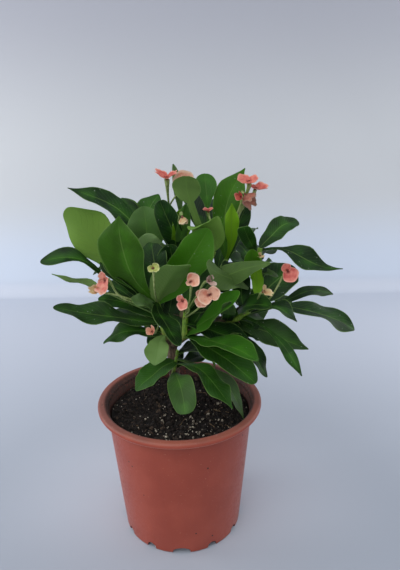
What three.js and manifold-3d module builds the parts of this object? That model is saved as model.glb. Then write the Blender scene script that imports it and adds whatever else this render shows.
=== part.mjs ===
// Crown of thorns (Euphorbia milii) growing in a plastic nursery pot.
// Millimetres, +Z up, -Y is the front. The origin is the middle of the pot's foot, on the surface
// that the pot stands on. A thorny brown trunk stands in the soil and forks; each fork carries a
// green leafy stem with its waved, spatulate leaves, and thin stalks carry the two-bracted blooms.
import * as THREE from 'three';
import { mergeVertices } from 'three/addons/utils/BufferGeometryUtils.js';
import Module from 'manifold-3d';

const wasm = await Module();
wasm.setup();

// ---------------------------------------------------------------- driving dimensions
const RIM_RADIUS = 65; // outside of the pot's lip
const POT_HEIGHT = 112;
const NECK_RADIUS = 57.7; // outside of the wall just under the lip
const FOOT_RADIUS = 48; // outside of the wall at the foot
const WALL = 1.3;
const LIP_DEPTH = 5.5; // height of the lip's flare
const FLOOR_TOP = 4.5; // inside of the pot's floor
const PAD_RADIUS = 14; // flat pad under the middle of the floor
const NOTCHES = 12; // drain notches round the foot, every third one wide
const WIDE_NOTCH = 15;
const NARROW_NOTCH = 9;
const NOTCH_HEIGHT = 5.5;
const NOTCH_DEPTH = 16; // how far a notch reaches in under the floor

const SOIL_LEVEL = 101;
const SOIL_HUMMOCK = 1.8; // how far the soil rises and dips
const GAP = 0.3; // clearance between pieces that touch

const TRUNK_RADII = [4.6, 4]; // at the foot and where the trunk forks
const TRUNK_FOOT = 78; // the lower end of the trunk, buried in the soil
const BRANCH_RADII = [3.6, 3];
const SHOOT_RADII = [3, 2.2];
const STRAIGHT_FOOT = 3; // how far a green stem runs on straight from its branch
const BLADE = 0.7; // thickness of a leaf
const PETIOLE = 1.2; // half the width of a leaf where it leaves the stem
const LEAF_TIP = 0.4; // half the width of a leaf at its very tip
const BRACT = 0.7; // thickness of a bract
const STALK_RADIUS = 0.75;

const POT_SIDES = 36;
const SOIL_SIDES = 30;
const TRUNK_SIDES = 9;
const BRANCH_SIDES = 7;
const STALK_SIDES = 4;

// ---------------------------------------------------------------- materials
const finish = (color, roughness) => new THREE.MeshStandardMaterial({ color, roughness, metalness: 0 });
const terracottaPlastic = finish(0x96503f, 0.45);
const pottingSoil = finish(0x241a15, 0.95);
const brownBark = finish(0x5a4636, 0.85);
const greenLeaf = finish(0x2f5a26, 0.45);
const bractFinish = {
  peach: finish(0xe0a185, 0.6),
  pink: finish(0xd2716a, 0.6),
  cream: finish(0xcdb88c, 0.65),
  lime: finish(0xb5b877, 0.6),
};

// ---------------------------------------------------------------- solids
const vector = ([x, y, z]) => new THREE.Vector3(x, y, z);
const radians = THREE.MathUtils.degToRad;

function toSolid(geometry) {
  const bare = geometry.clone();
  bare.deleteAttribute('normal');
  bare.deleteAttribute('uv');
  const merged = mergeVertices(bare, 1e-4);
  return new wasm.Manifold(
    new wasm.Mesh({
      numProp: 3,
      vertProperties: merged.attributes.position.array,
      triVerts: Uint32Array.from(merged.index.array),
    }),
  );
}

function toGeometry(solid) {
  const { vertProperties, triVerts } = solid.getMesh();
  const geometry = new THREE.BufferGeometry();
  geometry.setAttribute('position', new THREE.BufferAttribute(vertProperties, 3));
  geometry.setIndex(new THREE.BufferAttribute(triVerts, 1));
  geometry.computeVertexNormals();
  return geometry;
}

const fuse = (solids) => solids.reduce((joined, solid) => joined.add(solid));

// A closed skin over rings of points: every ring has as many points as the next, and the first and
// the last ring are closed by a fan.
function skin(rings) {
  const sides = rings[0].length;
  const points = rings.flat();
  const triangles = [];
  for (let ring = 0; ring + 1 < rings.length; ring += 1) {
    for (let side = 0; side < sides; side += 1) {
      const a = ring * sides + side;
      const b = ring * sides + ((side + 1) % sides);
      triangles.push(a, b, b + sides, a, b + sides, a + sides);
    }
  }
  const last = (rings.length - 1) * sides;
  for (let side = 1; side + 1 < sides; side += 1) {
    triangles.push(0, side + 1, side, last, last + side, last + side + 1);
  }
  const geometry = new THREE.BufferGeometry().setFromPoints(points);
  geometry.setIndex(triangles);
  return geometry;
}

// A round stem along a smooth path, its radius running evenly from the first to the last value.
function taperedTube(path, [startRadius, endRadius], sides, steps) {
  const curve = new THREE.CatmullRomCurve3(path.map(vector));
  const frames = curve.computeFrenetFrames(steps);
  const rings = [];
  for (let step = 0; step <= steps; step += 1) {
    const centre = curve.getPointAt(step / steps);
    const radius = THREE.MathUtils.lerp(startRadius, endRadius, step / steps);
    rings.push(
      Array.from({ length: sides }, (_, side) => {
        const angle = (2 * Math.PI * side) / sides;
        return centre
          .clone()
          .addScaledVector(frames.normals[step], radius * Math.cos(angle))
          .addScaledVector(frames.binormals[step], radius * Math.sin(angle));
      }),
    );
  }
  return skin(rings);
}

// ---------------------------------------------------------------- pot
// One injection-moulded shell: a foot ring and a middle pad under the floor, a tapering wall and a
// flared lip with rounded edges. The drain notches are arches through the foot ring.
function buildPot() {
  const neckHeight = POT_HEIGHT - LIP_DEPTH;
  const outline = [
    [0, 0],
    [PAD_RADIUS, 0],
    [PAD_RADIUS + 1.5, FLOOR_TOP - 1.5],
    [FOOT_RADIUS - 12, FLOOR_TOP - 1.5],
    [FOOT_RADIUS - 10.5, 0],
    [FOOT_RADIUS - 1.5, 0],
    [FOOT_RADIUS, 1.5],
    [NECK_RADIUS, neckHeight],
    [RIM_RADIUS - 2.5, neckHeight + 0.7],
    [RIM_RADIUS - 0.6, neckHeight + 1.6],
    [RIM_RADIUS, neckHeight + 3],
    [RIM_RADIUS - 0.6, POT_HEIGHT - 0.7],
    [RIM_RADIUS - 2.3, POT_HEIGHT],
    [RIM_RADIUS - 4.8, POT_HEIGHT],
    [RIM_RADIUS - 6.2, POT_HEIGHT - 1.2],
    [NECK_RADIUS - WALL, neckHeight],
    [FOOT_RADIUS - WALL, FLOOR_TOP],
    [0, FLOOR_TOP],
  ].map(([radius, height]) => new THREE.Vector2(radius, height));
  const shell = new THREE.LatheGeometry(outline, POT_SIDES).rotateX(Math.PI / 2);
  let pot = toSolid(shell);
  for (let notch = 0; notch < NOTCHES; notch += 1) {
    const width = notch % 3 === 0 ? WIDE_NOTCH : NARROW_NOTCH;
    pot = pot.subtract(toSolid(drainNotch(width).rotateZ((2 * Math.PI * notch) / NOTCHES)));
  }
  return toGeometry(pot);
}

function drainNotch(width) {
  const arch = new THREE.Shape();
  arch.moveTo(-width / 2, -1);
  arch.lineTo(width / 2, -1);
  arch.lineTo(width / 2 - 1, NOTCH_HEIGHT - 2);
  arch.quadraticCurveTo(0, NOTCH_HEIGHT + 2, 1 - width / 2, NOTCH_HEIGHT - 2);
  const options = { depth: NOTCH_DEPTH, bevelEnabled: false, curveSegments: 5 };
  return new THREE.ExtrudeGeometry(arch, options)
    .rotateX(Math.PI / 2)
    .translate(0, NOTCH_DEPTH - FOOT_RADIUS - 2, 0);
}

// ---------------------------------------------------------------- soil
// A plug of potting soil, clear of the pot's wall and floor, hummocky on top, with a plain hole
// for the trunk.
const hummock = (x, y) =>
  SOIL_HUMMOCK * (0.6 * Math.sin(x / 11 + 1) * Math.cos(y / 14) + 0.4 * Math.sin((x - y) / 7 + 2));

function buildSoil() {
  const wallSlope = (NECK_RADIUS - FOOT_RADIUS) / (POT_HEIGHT - LIP_DEPTH);
  const insideRadius = (height) => FOOT_RADIUS - WALL + wallSlope * (height - FLOOR_TOP) - GAP - 0.5;
  const edge = insideRadius(SOIL_LEVEL);
  const outline = [
    [0, FLOOR_TOP + GAP],
    [insideRadius(FLOOR_TOP), FLOOR_TOP + GAP],
    [edge, SOIL_LEVEL],
    [edge * 0.83, SOIL_LEVEL],
    [edge * 0.64, SOIL_LEVEL],
    [edge * 0.44, SOIL_LEVEL],
    [edge * 0.22, SOIL_LEVEL],
    [0, SOIL_LEVEL],
  ].map(([radius, height]) => new THREE.Vector2(radius, height));
  const plug = new THREE.LatheGeometry(outline, SOIL_SIDES).rotateX(Math.PI / 2);
  const places = plug.attributes.position;
  for (let i = 0; i < places.count; i += 1) {
    if (places.getZ(i) > SOIL_LEVEL - 1) {
      places.setZ(i, SOIL_LEVEL + hummock(places.getX(i), places.getY(i)));
    }
  }
  const holeRadius = TRUNK_RADII[0] + GAP;
  const holeDepth = POT_HEIGHT - TRUNK_FOOT;
  const hole = new THREE.CylinderGeometry(holeRadius, holeRadius, holeDepth, 12)
    .rotateX(Math.PI / 2)
    .translate(0, 0, TRUNK_FOOT - GAP + holeDepth / 2);
  return toGeometry(toSolid(plug).subtract(toSolid(hole)));
}

// ---------------------------------------------------------------- leaves
// Each leaf is a thin spatulate blade bent along its midrib, with waved edges. base and tip are the
// ends of the midrib, width is the widest place, and the rest bends and turns it:
//   arch, sway    how far the middle of the midrib rises and goes aside
//   curl          how far the tip end lifts (or, below zero, turns down)
//   face          azimuth in degrees to which the underside leans, for a leaf that stands upright
//   roll, twist   turn of the blade about the midrib, all along and growing towards the tip
//   fold          how far the edges rise, as a share of half the width
//   wave, waves, phase   height, number and start of the waves of the edges
//   widest, blunt where along the leaf it is widest, and how full its tip is
const LEAF_STEPS = [0, 0.2, 0.4, 0.58, 0.74, 0.9, 1];
const PLAIN_LEAF = {
  arch: 5,
  sway: 0,
  curl: 0,
  roll: 0,
  twist: 0,
  fold: 0.2,
  wave: 1.2,
  waves: 1.6,
  phase: 0,
  widest: 0.68,
  blunt: 0.62,
};

function leafSolid(base, leaf) {
  const shape = { ...PLAIN_LEAF, ...leaf };
  const start = vector(base);
  const tip = vector(shape.tip);
  const towardsTip = Math.atan2(tip.y - start.y, tip.x - start.x);
  const azimuth = shape.face === undefined ? towardsTip : radians(shape.face);
  const across = new THREE.Vector3(Math.sin(azimuth), -Math.cos(azimuth), 0);
  const chord = tip.clone().sub(start).normalize();
  const up = across.clone().cross(chord).normalize();
  const middle = start.clone().lerp(tip, 0.5);
  middle.addScaledVector(up, 2 * shape.arch).addScaledVector(across, 2 * shape.sway);
  const midrib = new THREE.QuadraticBezierCurve3(start, middle, tip);
  const fullness = (shape.blunt * shape.widest) / (1 - shape.widest);
  const rings = LEAF_STEPS.map((t) => {
    const along = midrib.getTangent(t);
    const normal = across.clone().cross(along).normalize();
    const turn = radians(shape.roll + shape.twist * t);
    normal.applyAxisAngle(along, turn);
    const sideways = normal.clone().cross(along);
    const full = (t / shape.widest) ** fullness * ((1 - t) / (1 - shape.widest)) ** shape.blunt;
    const half = THREE.MathUtils.lerp(PETIOLE, LEAF_TIP, t) + (shape.width / 2 - LEAF_TIP) * full;
    const centre = midrib.getPoint(t);
    centre.addScaledVector(up, shape.curl * Math.max(0, 2 * t - 1) ** 2);
    const edgeLift = (lead) => {
      const turns = shape.waves * t + shape.phase + lead;
      return full * (shape.fold * half + shape.wave * Math.sin(2 * Math.PI * turns));
    };
    const at = (offset, lift) =>
      centre.clone().addScaledVector(sideways, offset).addScaledVector(normal, lift);
    const left = edgeLift(0);
    const right = edgeLift(0.3);
    const thick = BLADE / 2;
    return [
      at(-half, left - thick),
      at(0, -thick),
      at(half, right - thick),
      at(half, right + thick),
      at(0, thick),
      at(-half, left + thick),
    ];
  });
  return toSolid(leafSkin(rings));
}

// A leaf's skin is split into triangles alike on its upper and its under side.
function leafSkin(rings) {
  const triangles = [];
  const quad = (a, b, c, d) => triangles.push(a, b, c, a, c, d);
  for (let ring = 0; ring + 1 < rings.length; ring += 1) {
    const here = ring * 6;
    const next = here + 6;
    quad(here, here + 1, next + 1, next);
    quad(here + 1, here + 2, next + 2, next + 1);
    quad(here + 2, here + 3, next + 3, next + 2);
    triangles.push(here + 3, here + 4, next + 3, here + 4, next + 4, next + 3);
    triangles.push(here + 4, here + 5, next + 4, here + 5, next + 5, next + 4);
    quad(here + 5, here, next, next + 5);
  }
  const last = (rings.length - 1) * 6;
  triangles.push(0, 4, 1, 0, 5, 4, 1, 4, 3, 1, 3, 2);
  triangles.push(last, last + 1, last + 4, last, last + 4, last + 5);
  triangles.push(last + 1, last + 2, last + 3, last + 1, last + 3, last + 4);
  const geometry = new THREE.BufferGeometry().setFromPoints(rings.flat());
  geometry.setIndex(triangles);
  return geometry;
}

// ---------------------------------------------------------------- thorns
// Stout tapering spines stand out from a stem in a spiral, some longer than others.
const GOLDEN_TURN = 137.5;
const THORN_LENGTH = 6.5;
const THORN_RADIUS = 0.75;
const THORN_SIDES = 3;
const THORN_SPACING = 10; // a thorn for every so many millimetres of branch

function thornSolids(path, stemRadius, { from, to, count, turn = 0, size = 1 }) {
  const curve = new THREE.CatmullRomCurve3(path.map(vector));
  return Array.from({ length: count }, (_, i) => {
    const along = from + ((to - from) * i) / Math.max(1, count - 1);
    const stem = curve.getTangentAt(along);
    const azimuth = radians(turn + GOLDEN_TURN * i);
    const outward = new THREE.Vector3(Math.cos(azimuth), Math.sin(azimuth), 0.3);
    outward.addScaledVector(stem, -outward.dot(stem)).normalize();
    const root = stemRadius * 0.5;
    const reach = stemRadius + size * THORN_LENGTH * (0.75 + 0.4 * Math.abs(Math.sin(i * 2.3)));
    const cone = new THREE.ConeGeometry(THORN_RADIUS, reach - root, THORN_SIDES);
    cone.translate(0, (reach + root) / 2, 0);
    const aim = new THREE.Quaternion().setFromUnitVectors(new THREE.Vector3(0, 1, 0), outward);
    cone.applyQuaternion(aim);
    cone.translate(...curve.getPointAt(along).toArray());
    return toSolid(cone);
  });
}

// ---------------------------------------------------------------- blooms
// A bloom is a small cup between two kidney-shaped bracts, which meet at a narrow waist and tilt up
// from it. facing is the way it looks, turn spins it, size is its reach, open how flat it lies.
const BLOOM_SIDES = 12;
const CUP_RADIUS = 1;
const CUP_HEIGHT = 2.4;
const PLAIN_BLOOM = { facing: [0, -0.9, 0.4], turn: 0, size: 5.6, open: 0.8 };

function bloomGeometry(centre, bloom) {
  const { facing, turn, size, open } = { ...PLAIN_BLOOM, ...bloom };
  const tilt = (1 - open) * (Math.PI / 2);
  const sides = Array.from({ length: BLOOM_SIDES }, (_, i) => i + 0.5);
  const angles = sides.map((side) => (2 * Math.PI * side) / BLOOM_SIDES);
  const cupRing = (height) =>
    angles.map((angle) => {
      return new THREE.Vector3(CUP_RADIUS * Math.cos(angle), CUP_RADIUS * Math.sin(angle), height);
    });
  const bractRing = (lift) =>
    angles.map((angle) => {
      const reach = size * (0.5 + 0.5 * Math.sqrt(Math.abs(Math.cos(angle))));
      const out = reach * Math.cos(angle);
      const rise = Math.abs(out) * Math.sin(tilt) + lift;
      return new THREE.Vector3(out * Math.cos(tilt), reach * Math.sin(angle), rise);
    });
  const rings = [
    cupRing(-CUP_HEIGHT / 2),
    bractRing(-BRACT / 2),
    bractRing(BRACT / 2),
    cupRing(CUP_HEIGHT / 2),
  ];
  const outward = vector(facing).normalize();
  const aim = new THREE.Quaternion().setFromUnitVectors(new THREE.Vector3(0, 0, 1), outward);
  return skin(rings).rotateZ(radians(turn)).applyQuaternion(aim).translate(...centre);
}

// Where the stalk of a bloom ends, just short of its cup.
function stalkEnd(centre, { facing = PLAIN_BLOOM.facing }, distance = 0) {
  const back = vector(facing).normalize().multiplyScalar(CUP_HEIGHT / 2 + GAP + distance);
  return vector(centre).sub(back).toArray();
}

// ---------------------------------------------------------------- trunk and forks
const FORK = [-5, 0, 157];
const TRUNK = [[0, 0, TRUNK_FOOT], [0, 0, 95], [0, 0, 107], [-3.5, 0, 131], FORK];
const CROWN = [-1, 2, 170]; // where the branches to the right and the top part

// Each brown branch runs from the trunk to the foot of the leafy stem that it carries.
const branches = {
  left: [FORK, [-8, -4, 166]],
  back_left: [FORK, [-9, 6, 168], [-14, 14, 186]],
  centre: [FORK, [-4, 7, 166], [-3, 12, 180]],
  top: [FORK, CROWN, [8, 3, 188], [15, 3, 203]],
  top_right: [CROWN, [10, 7, 181], [22, 11, 196]],
  right: [FORK, [6, 1, 165], [30, 4, 174], [48, 8, 182], [57, 7, 192]],
  right_low: [[20, 2, 170], [30, -4, 176], [38, -10, 181]],
  front: [FORK, [0, -5, 163], [4, -9, 168]],
  low: [[-3.5, 0, 131], [-4, -7, 136]],
};

// ---------------------------------------------------------------- leafy stems
// Each entry is one green stem: the path beyond its brown branch, its leaves (at = how far along
// the stem they stand) and its flower stalks, each forking to the blooms that it carries.
const leafyStems = {
  left: {
    path: [[-11, -6, 178], [-14, -10, 197]],
    leaves: [
      {
        at: 1, tip: [-40, 0, 261], width: 28, face: 90, arch: 3, sway: -8,
        fold: 0.3, wave: 1.5, widest: 0.64,
      },
      { at: 1, tip: [-66, -30, 270], width: 28, face: -100, arch: -3, sway: 5, wave: 1.8, widest: 0.8 },
      { at: 0.4, tip: [-88, -20, 198], width: 21, arch: -1, roll: -20, wave: 2.4 },
      { at: 0.7, tip: [-95, -15, 231], width: 19, arch: 16, roll: -10, wave: 2.5, widest: 0.8 },
      { at: 0.6, tip: [-96, 15, 212], width: 9, arch: 3, twist: 90, wave: 2 },
      { at: 0.5, tip: [-60, 5, 195], width: 14, arch: 4, roll: -30 },
      { at: 0.8, tip: [-55, -2, 226], width: 16, arch: 2, roll: -40 },
      { at: 0.85, tip: [1, -54, 183], width: 15, arch: 3, roll: -20 },
      { at: 0.2, tip: [-58, 5, 157], width: 16, arch: 8, roll: -25 },
      { at: 0.1, tip: [-15, -30, 153], width: 17, arch: 5, face: -90 },
      { at: 0.95, tip: [24, -20, 254], width: 26, face: 90, arch: 2, sway: 2, wave: 1.5, widest: 0.62 },
      { at: 1, tip: [-18, 10, 238], width: 20, face: 90, arch: 2 },
      { at: 0.1, tip: [-66, 36, 166], width: 18, arch: 8 },
      { at: 1, tip: [11, -60, 240], width: 20, arch: 6, face: -80 },
    ],
    sprays: [
      {
        at: 0.8,
        fork: [-39, -28, 209],
        blooms: [
          { name: 'outer_left', at: [-50, -32, 223], facing: [-0.5, -0.7, 0.5], color: 'pink' },
          {
            name: 'outer_left_low', at: [-53, -34, 214],
            facing: [-0.7, -0.5, -0.2], color: 'peach', turn: 60,
          },
        ],
      },
      {
        at: 1,
        fork: [-13, -40, 218],
        blooms: [
          { name: 'lime', at: [-12, -50, 236], size: 4.5, color: 'lime', turn: 30 },
        ],
      },
      {
        at: 0.6,
        fork: [-13, -30, 184],
        blooms: [
          {
            name: 'inner_left', at: [-15, -45, 190],
            facing: [-0.3, -0.7, 0.5], size: 4.6, open: 0.5, color: 'peach',
          },
        ],
      },
    ],
  },
  back_left: {
    path: [[-18, 22, 208], [-25, 30, 232]],
    leaves: [
      {
        at: 1, tip: [-79, 20, 277], width: 18, arch: 5, roll: -35, wave: 2.5,
        blunt: 0.8, twist: 10, widest: 0.6,
      },
      { at: 0.95, tip: [-14, 50, 266], width: 15, arch: 3, face: 90 },
      { at: 0.9, tip: [-42, 45, 264], width: 15, arch: 4, face: 90 },
      { at: 0.6, tip: [-24, 22, 262], width: 28, face: 90, arch: 2 },
      { at: 0.9, tip: [-70, 62, 226], width: 18, arch: 6 },
      { at: 0.7, tip: [-56, 88, 216], width: 20, arch: 8 },
      { at: 0.5, tip: [-72, 56, 198], width: 18, arch: 8 },
      { at: 0.3, tip: [-52, 74, 176], width: 18, arch: 8 },
    ],
    sprays: [],
  },
  centre: {
    path: [[-1, 17, 200], [2, 22, 220]],
    leaves: [
      { at: 0.9, tip: [-8, 9, 268], width: 17, face: 90, arch: 2, blunt: 0.5 },
      { at: 1, tip: [5, 8, 262], width: 13, face: 90, arch: 1 },
      { at: 0.8, tip: [-28, 14, 226], width: 20, face: 90, arch: 3 },
      { at: 0.3, tip: [8, 2, 230], width: 18, face: 90, arch: 2 },
      { at: 0.9, tip: [-14, 78, 238], width: 18, arch: 6 },
      { at: 0.7, tip: [14, 90, 212], width: 20, arch: 8 },
      { at: 0.5, tip: [36, 78, 188], width: 18, arch: 8 },
      { at: 0.4, tip: [-12, 78, 178], width: 18, arch: 8 },
      { at: 0.1, tip: [-28, 58, 146], width: 18, arch: 8 },
      { at: 0.1, tip: [24, 56, 144], width: 18, arch: 8 },
    ],
    sprays: [
      {
        at: 1,
        fork: [-5, 3, 266],
        blooms: [
          {
            name: 'top_left', at: [-7, -5, 288], facing: [-0.4, -0.2, 0.8],
            open: 0.6, color: 'pink', turn: 20,
          },
          { name: 'top_left_right', at: [3, 0, 286], facing: [0.4, -0.4, 0.8], color: 'peach' },
        ],
      },
      {
        at: 1,
        fork: [3, 2, 250],
        blooms: [
          {
            name: 'drying', at: [6, -5, 259], facing: [0.2, -0.3, -0.9],
            size: 4.4, open: 0.3, color: 'cream',
          },
        ],
      },
    ],
  },
  top: {
    path: [[22, 2, 217], [28, 0, 232]],
    leaves: [
      { at: 1, tip: [9, -15, 289], width: 21, face: -90, arch: 3, sway: 3, blunt: 0.6, widest: 0.84 },
      { at: 0.95, tip: [22, 26, 284], width: 17, face: 90, arch: 2, sway: -3, blunt: 0.5 },
      { at: 0.9, tip: [5, 58, 270], width: 16, arch: 6 },
      { at: 0.8, tip: [24, 64, 260], width: 17, arch: 6 },
      { at: 0.3, tip: [42, -4, 205], width: 20, arch: 3, roll: 50 },
      { at: 1, tip: [13, -22, 254], width: 21, arch: 12, roll: 25, widest: 0.55, blunt: 0.5 },
    ],
    sprays: [
      {
        at: 1,
        fork: [27, 2, 250],
        blooms: [
          {
            name: 'top_middle', at: [26, 5, 262], facing: [-0.2, -0.5, 0.7],
            size: 4.6, color: 'peach',
          },
        ],
      },
    ],
  },
  top_right: {
    path: [[32, 12, 210], [38, 12, 222]],
    leaves: [
      { at: 1, tip: [52, 25, 287], width: 22, face: 90, arch: 2, sway: -8 },
      { at: 1, tip: [43, 7, 263], width: 13, face: 90, arch: 1, blunt: 0.8 },
      { at: 0.8, tip: [55, 35, 262], width: 14, face: 90, arch: 1 },
      { at: 0.8, tip: [64, 72, 232], width: 18, arch: 6 },
      { at: 0.5, tip: [44, 92, 230], width: 20, arch: 8 },
    ],
    sprays: [
      {
        at: 1,
        fork: [46, 2, 259],
        blooms: [
          { name: 'top_right', at: [49, 2, 284], facing: [-0.2, -0.4, 0.8], color: 'peach' },
          {
            name: 'top_right_outer', at: [60, 14, 277],
            facing: [0.5, -0.4, 0.7], color: 'pink', turn: 60,
          },
          {
            name: 'top_right_low', at: [55, 6, 266],
            facing: [0.4, -0.4, -0.7], open: 0.5, color: 'pink',
          },
        ],
      },
      {
        at: 1,
        fork: [44, 4, 255],
        blooms: [
          {
            name: 'top_right_bud', at: [43, 0, 269],
            facing: [-0.4, -0.8, 0.3], size: 3.2, open: 0.4, color: 'pink',
          },
        ],
      },
    ],
  },
  right: {
    path: [[61, 8, 212], [63, 8, 232]],
    leaves: [
      { at: 1, tip: [49, -25, 255], width: 14, face: 90, arch: 2 },
      { at: 1, tip: [94, 35, 245], width: 18, arch: 5, roll: 25 },
      { at: 0.95, tip: [124, 5, 216], width: 20, arch: 2, roll: 35, wave: 3, waves: 2 },
      { at: 0.75, tip: [23, -45, 233], width: 20, arch: 3, roll: -50, widest: 0.78, blunt: 0.5 },
      { at: 0.9, tip: [56, -25, 206], width: 12, arch: 6, face: -80 },
      { at: 0.8, tip: [88, 78, 212], width: 18, arch: 6 },
      { at: 0.5, tip: [64, 88, 198], width: 18, arch: 8 },
      { at: 0.2, tip: [106, 52, 186], width: 18, arch: 8 },
      { at: 0.1, tip: [92, 58, 162], width: 18, arch: 8 },
      { at: 0.05, tip: [68, 58, 150], width: 18, arch: 8 },
      { at: 0.6, tip: [34, -10, 220], width: 18, arch: 3 },
    ],
    sprays: [
      {
        at: 0.8,
        fork: [61, -1, 224],
        blooms: [
          {
            name: 'cream', at: [62, -7, 230], facing: [0.3, -0.6, 0.6],
            size: 4, open: 0.5, color: 'cream',
          },
        ],
      },
    ],
  },
  right_low: {
    path: [[45, -14, 185], [53, -18, 192]],
    leaves: [
      { at: 0.8, tip: [91, 15, 212], width: 22, arch: 3, roll: 40 },
      { at: 0.7, tip: [124, 25, 188], width: 12, arch: 5, wave: 2.5, waves: 2 },
      { at: 0.6, tip: [130, -15, 175], width: 18, arch: 7, roll: 15, wave: 2 },
      { at: 1, tip: [82, -50, 198], width: 22, arch: 5 },
      { at: 0.5, tip: [96, -25, 164], width: 22, arch: 8, blunt: 0.8, roll: 20 },
      { at: 0.4, tip: [85, -60, 161], width: 14, arch: 2, roll: 30, blunt: 0.8, widest: 0.84 },
      { at: 0.2, tip: [65, -35, 147], width: 16, arch: 8 },
      { at: 0.05, tip: [37, -24, 203], width: 9, face: 90, arch: 1 },
      { at: 0.8, tip: [46, -14, 224], width: 14, face: 90, arch: 1 },
      { at: 1, tip: [38, -52, 192], width: 22, arch: 4 },
    ],
    sprays: [
      {
        at: 1,
        fork: [66, -25, 203],
        blooms: [
          {
            name: 'right', at: [80, -30, 224], facing: [0.3, -0.8, 0.5],
            size: 6.4, color: 'pink', turn: 120,
          },
        ],
      },
      {
        at: 1,
        fork: [58, -30, 206],
        blooms: [
          {
            name: 'right_fading', at: [61, -40, 216],
            facing: [0.3, -0.8, -0.2], size: 4.4, open: 0.4, color: 'cream',
          },
        ],
      },
    ],
  },
  front: {
    path: [[6, -12, 178], [7, -14, 190]],
    leaves: [
      { at: 1, tip: [20, -5, 229], width: 20, face: 90, arch: 2 },
      { at: 0.8, tip: [44, -45, 215], width: 26, arch: -1, roll: 35 },
      { at: 0.6, tip: [50, -36, 177], width: 22, arch: 0, roll: 10 },
      { at: 0.6, tip: [53, -80, 183], width: 24, arch: 1 },
      { at: 0.2, tip: [54, -60, 156], width: 27, arch: 3 },
    ],
    sprays: [
      {
        at: 1,
        fork: [15, -32, 209],
        blooms: [
          {
            name: 'middle_pale', at: [23, -40, 221], facing: [0.6, -0.6, 0.4],
            size: 4.6, open: 0.5, color: 'peach', turn: 60,
          },
        ],
      },
      {
        at: 1,
        fork: [11, -45, 213],
        blooms: [
          { name: 'front_upper', at: [13, -62, 230], color: 'peach', turn: 20 },
        ],
      },
      {
        at: 0.9,
        fork: [10, -48, 206],
        blooms: [
          { name: 'front_left', at: [7, -64, 217], facing: [0.5, -0.8, 0.3], color: 'peach', turn: 80 },
        ],
      },
      {
        at: 0.8,
        fork: [17, -45, 206],
        blooms: [
          {
            name: 'front_middle', at: [19, -66, 219],
            facing: [-0.2, -0.9, 0.4], color: 'peach', turn: 60,
          },
          {
            name: 'front_right', at: [27, -63, 221], facing: [0.2, -0.9, 0.4],
            color: 'peach', turn: 100,
          },
        ],
      },
    ],
  },
  low: {
    path: [[-2, -12, 147], [0, -15, 160]],
    leaves: [
      { at: 0.5, tip: [38, -70, 143], width: 20, arch: 10 },
      { at: 0.7, tip: [47, -25, 107], width: 18, arch: 20, face: -45, widest: 0.75 },
      { at: 0.9, tip: [30, 5, 141], width: 18, arch: 6 },
      { at: 0.1, tip: [6, -60, 133], width: 22, arch: 12 },
      { at: 0.6, tip: [-31, -30, 135], width: 22, arch: 8, roll: -10 },
    ],
    sprays: [],
  },
};

// ---------------------------------------------------------------- the whole plant in its pot
const plant = new THREE.Group();

function addPiece(name, geometry, material) {
  const mesh = new THREE.Mesh(geometry, material);
  mesh.name = name;
  plant.add(mesh);
}

function buildWoodyStem() {
  const trunkThorns = { from: 0.4, to: 0.95, count: 12 };
  const parts = [
    toSolid(taperedTube(TRUNK, TRUNK_RADII, TRUNK_SIDES, 7)),
    ...thornSolids(TRUNK, TRUNK_RADII[0], trunkThorns),
  ];
  for (const path of Object.values(branches)) {
    parts.push(toSolid(taperedTube(path, BRANCH_RADII, BRANCH_SIDES, 2 * path.length - 2)));
    const length = new THREE.CatmullRomCurve3(path.map(vector)).getLength();
    const count = Math.floor(length / THORN_SPACING);
    const branchThorns = { from: 0.35, to: 0.9, count, turn: 70, size: 0.8 };
    parts.push(...thornSolids(path, BRANCH_RADII[1], branchThorns));
  }
  return toGeometry(fuse(parts));
}

// A green stem starts a small gap above its branch, and first runs on straight from it.
function buildLeafyStem(branch, { path, leaves, sprays }) {
  const end = vector(branch.at(-1));
  const heading = end.clone().sub(vector(branch.at(-2))).normalize();
  const foot = end.clone().addScaledVector(heading, GAP);
  const bend = end.clone().addScaledVector(heading, STRAIGHT_FOOT);
  const whole = [foot.toArray(), bend.toArray(), ...path];
  const curve = new THREE.CatmullRomCurve3(whole.map(vector));
  const pointAt = (share) => curve.getPointAt(share).toArray();
  const thorns = { from: 0.15, to: 0.85, count: 4, turn: 200, size: 0.55 };
  const parts = [
    toSolid(taperedTube(whole, SHOOT_RADII, BRANCH_SIDES, 4)),
    ...thornSolids(whole, SHOOT_RADII[1], thorns),
    ...leaves.map((leaf) => leafSolid(pointAt(leaf.at), leaf)),
  ];
  const radii = [STALK_RADIUS, STALK_RADIUS];
  for (const { at, fork, blooms } of sprays) {
    parts.push(toSolid(taperedTube([pointAt(at), fork], radii, STALK_SIDES, 2)));
    for (const bloom of blooms) {
      const stalk = [fork, stalkEnd(bloom.at, bloom, 2), stalkEnd(bloom.at, bloom)];
      parts.push(toSolid(taperedTube(stalk, radii, STALK_SIDES, 3)));
    }
  }
  return toGeometry(fuse(parts));
}

addPiece('pot', buildPot(), terracottaPlastic);
addPiece('potting_soil', buildSoil(), pottingSoil);
addPiece('woody_stem', buildWoodyStem(), brownBark);
for (const [name, stem] of Object.entries(leafyStems)) {
  addPiece(`leafy_stem_${name}`, buildLeafyStem(branches[name], stem), greenLeaf);
  for (const bloom of stem.sprays.flatMap((spray) => spray.blooms)) {
    addPiece(`bloom_${bloom.name}`, bloomGeometry(bloom.at, bloom), bractFinish[bloom.color]);
  }
}

export default plant;
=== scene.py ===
import math
import random

import bpy
from mathutils import Matrix, Quaternion, Vector, noise


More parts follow.
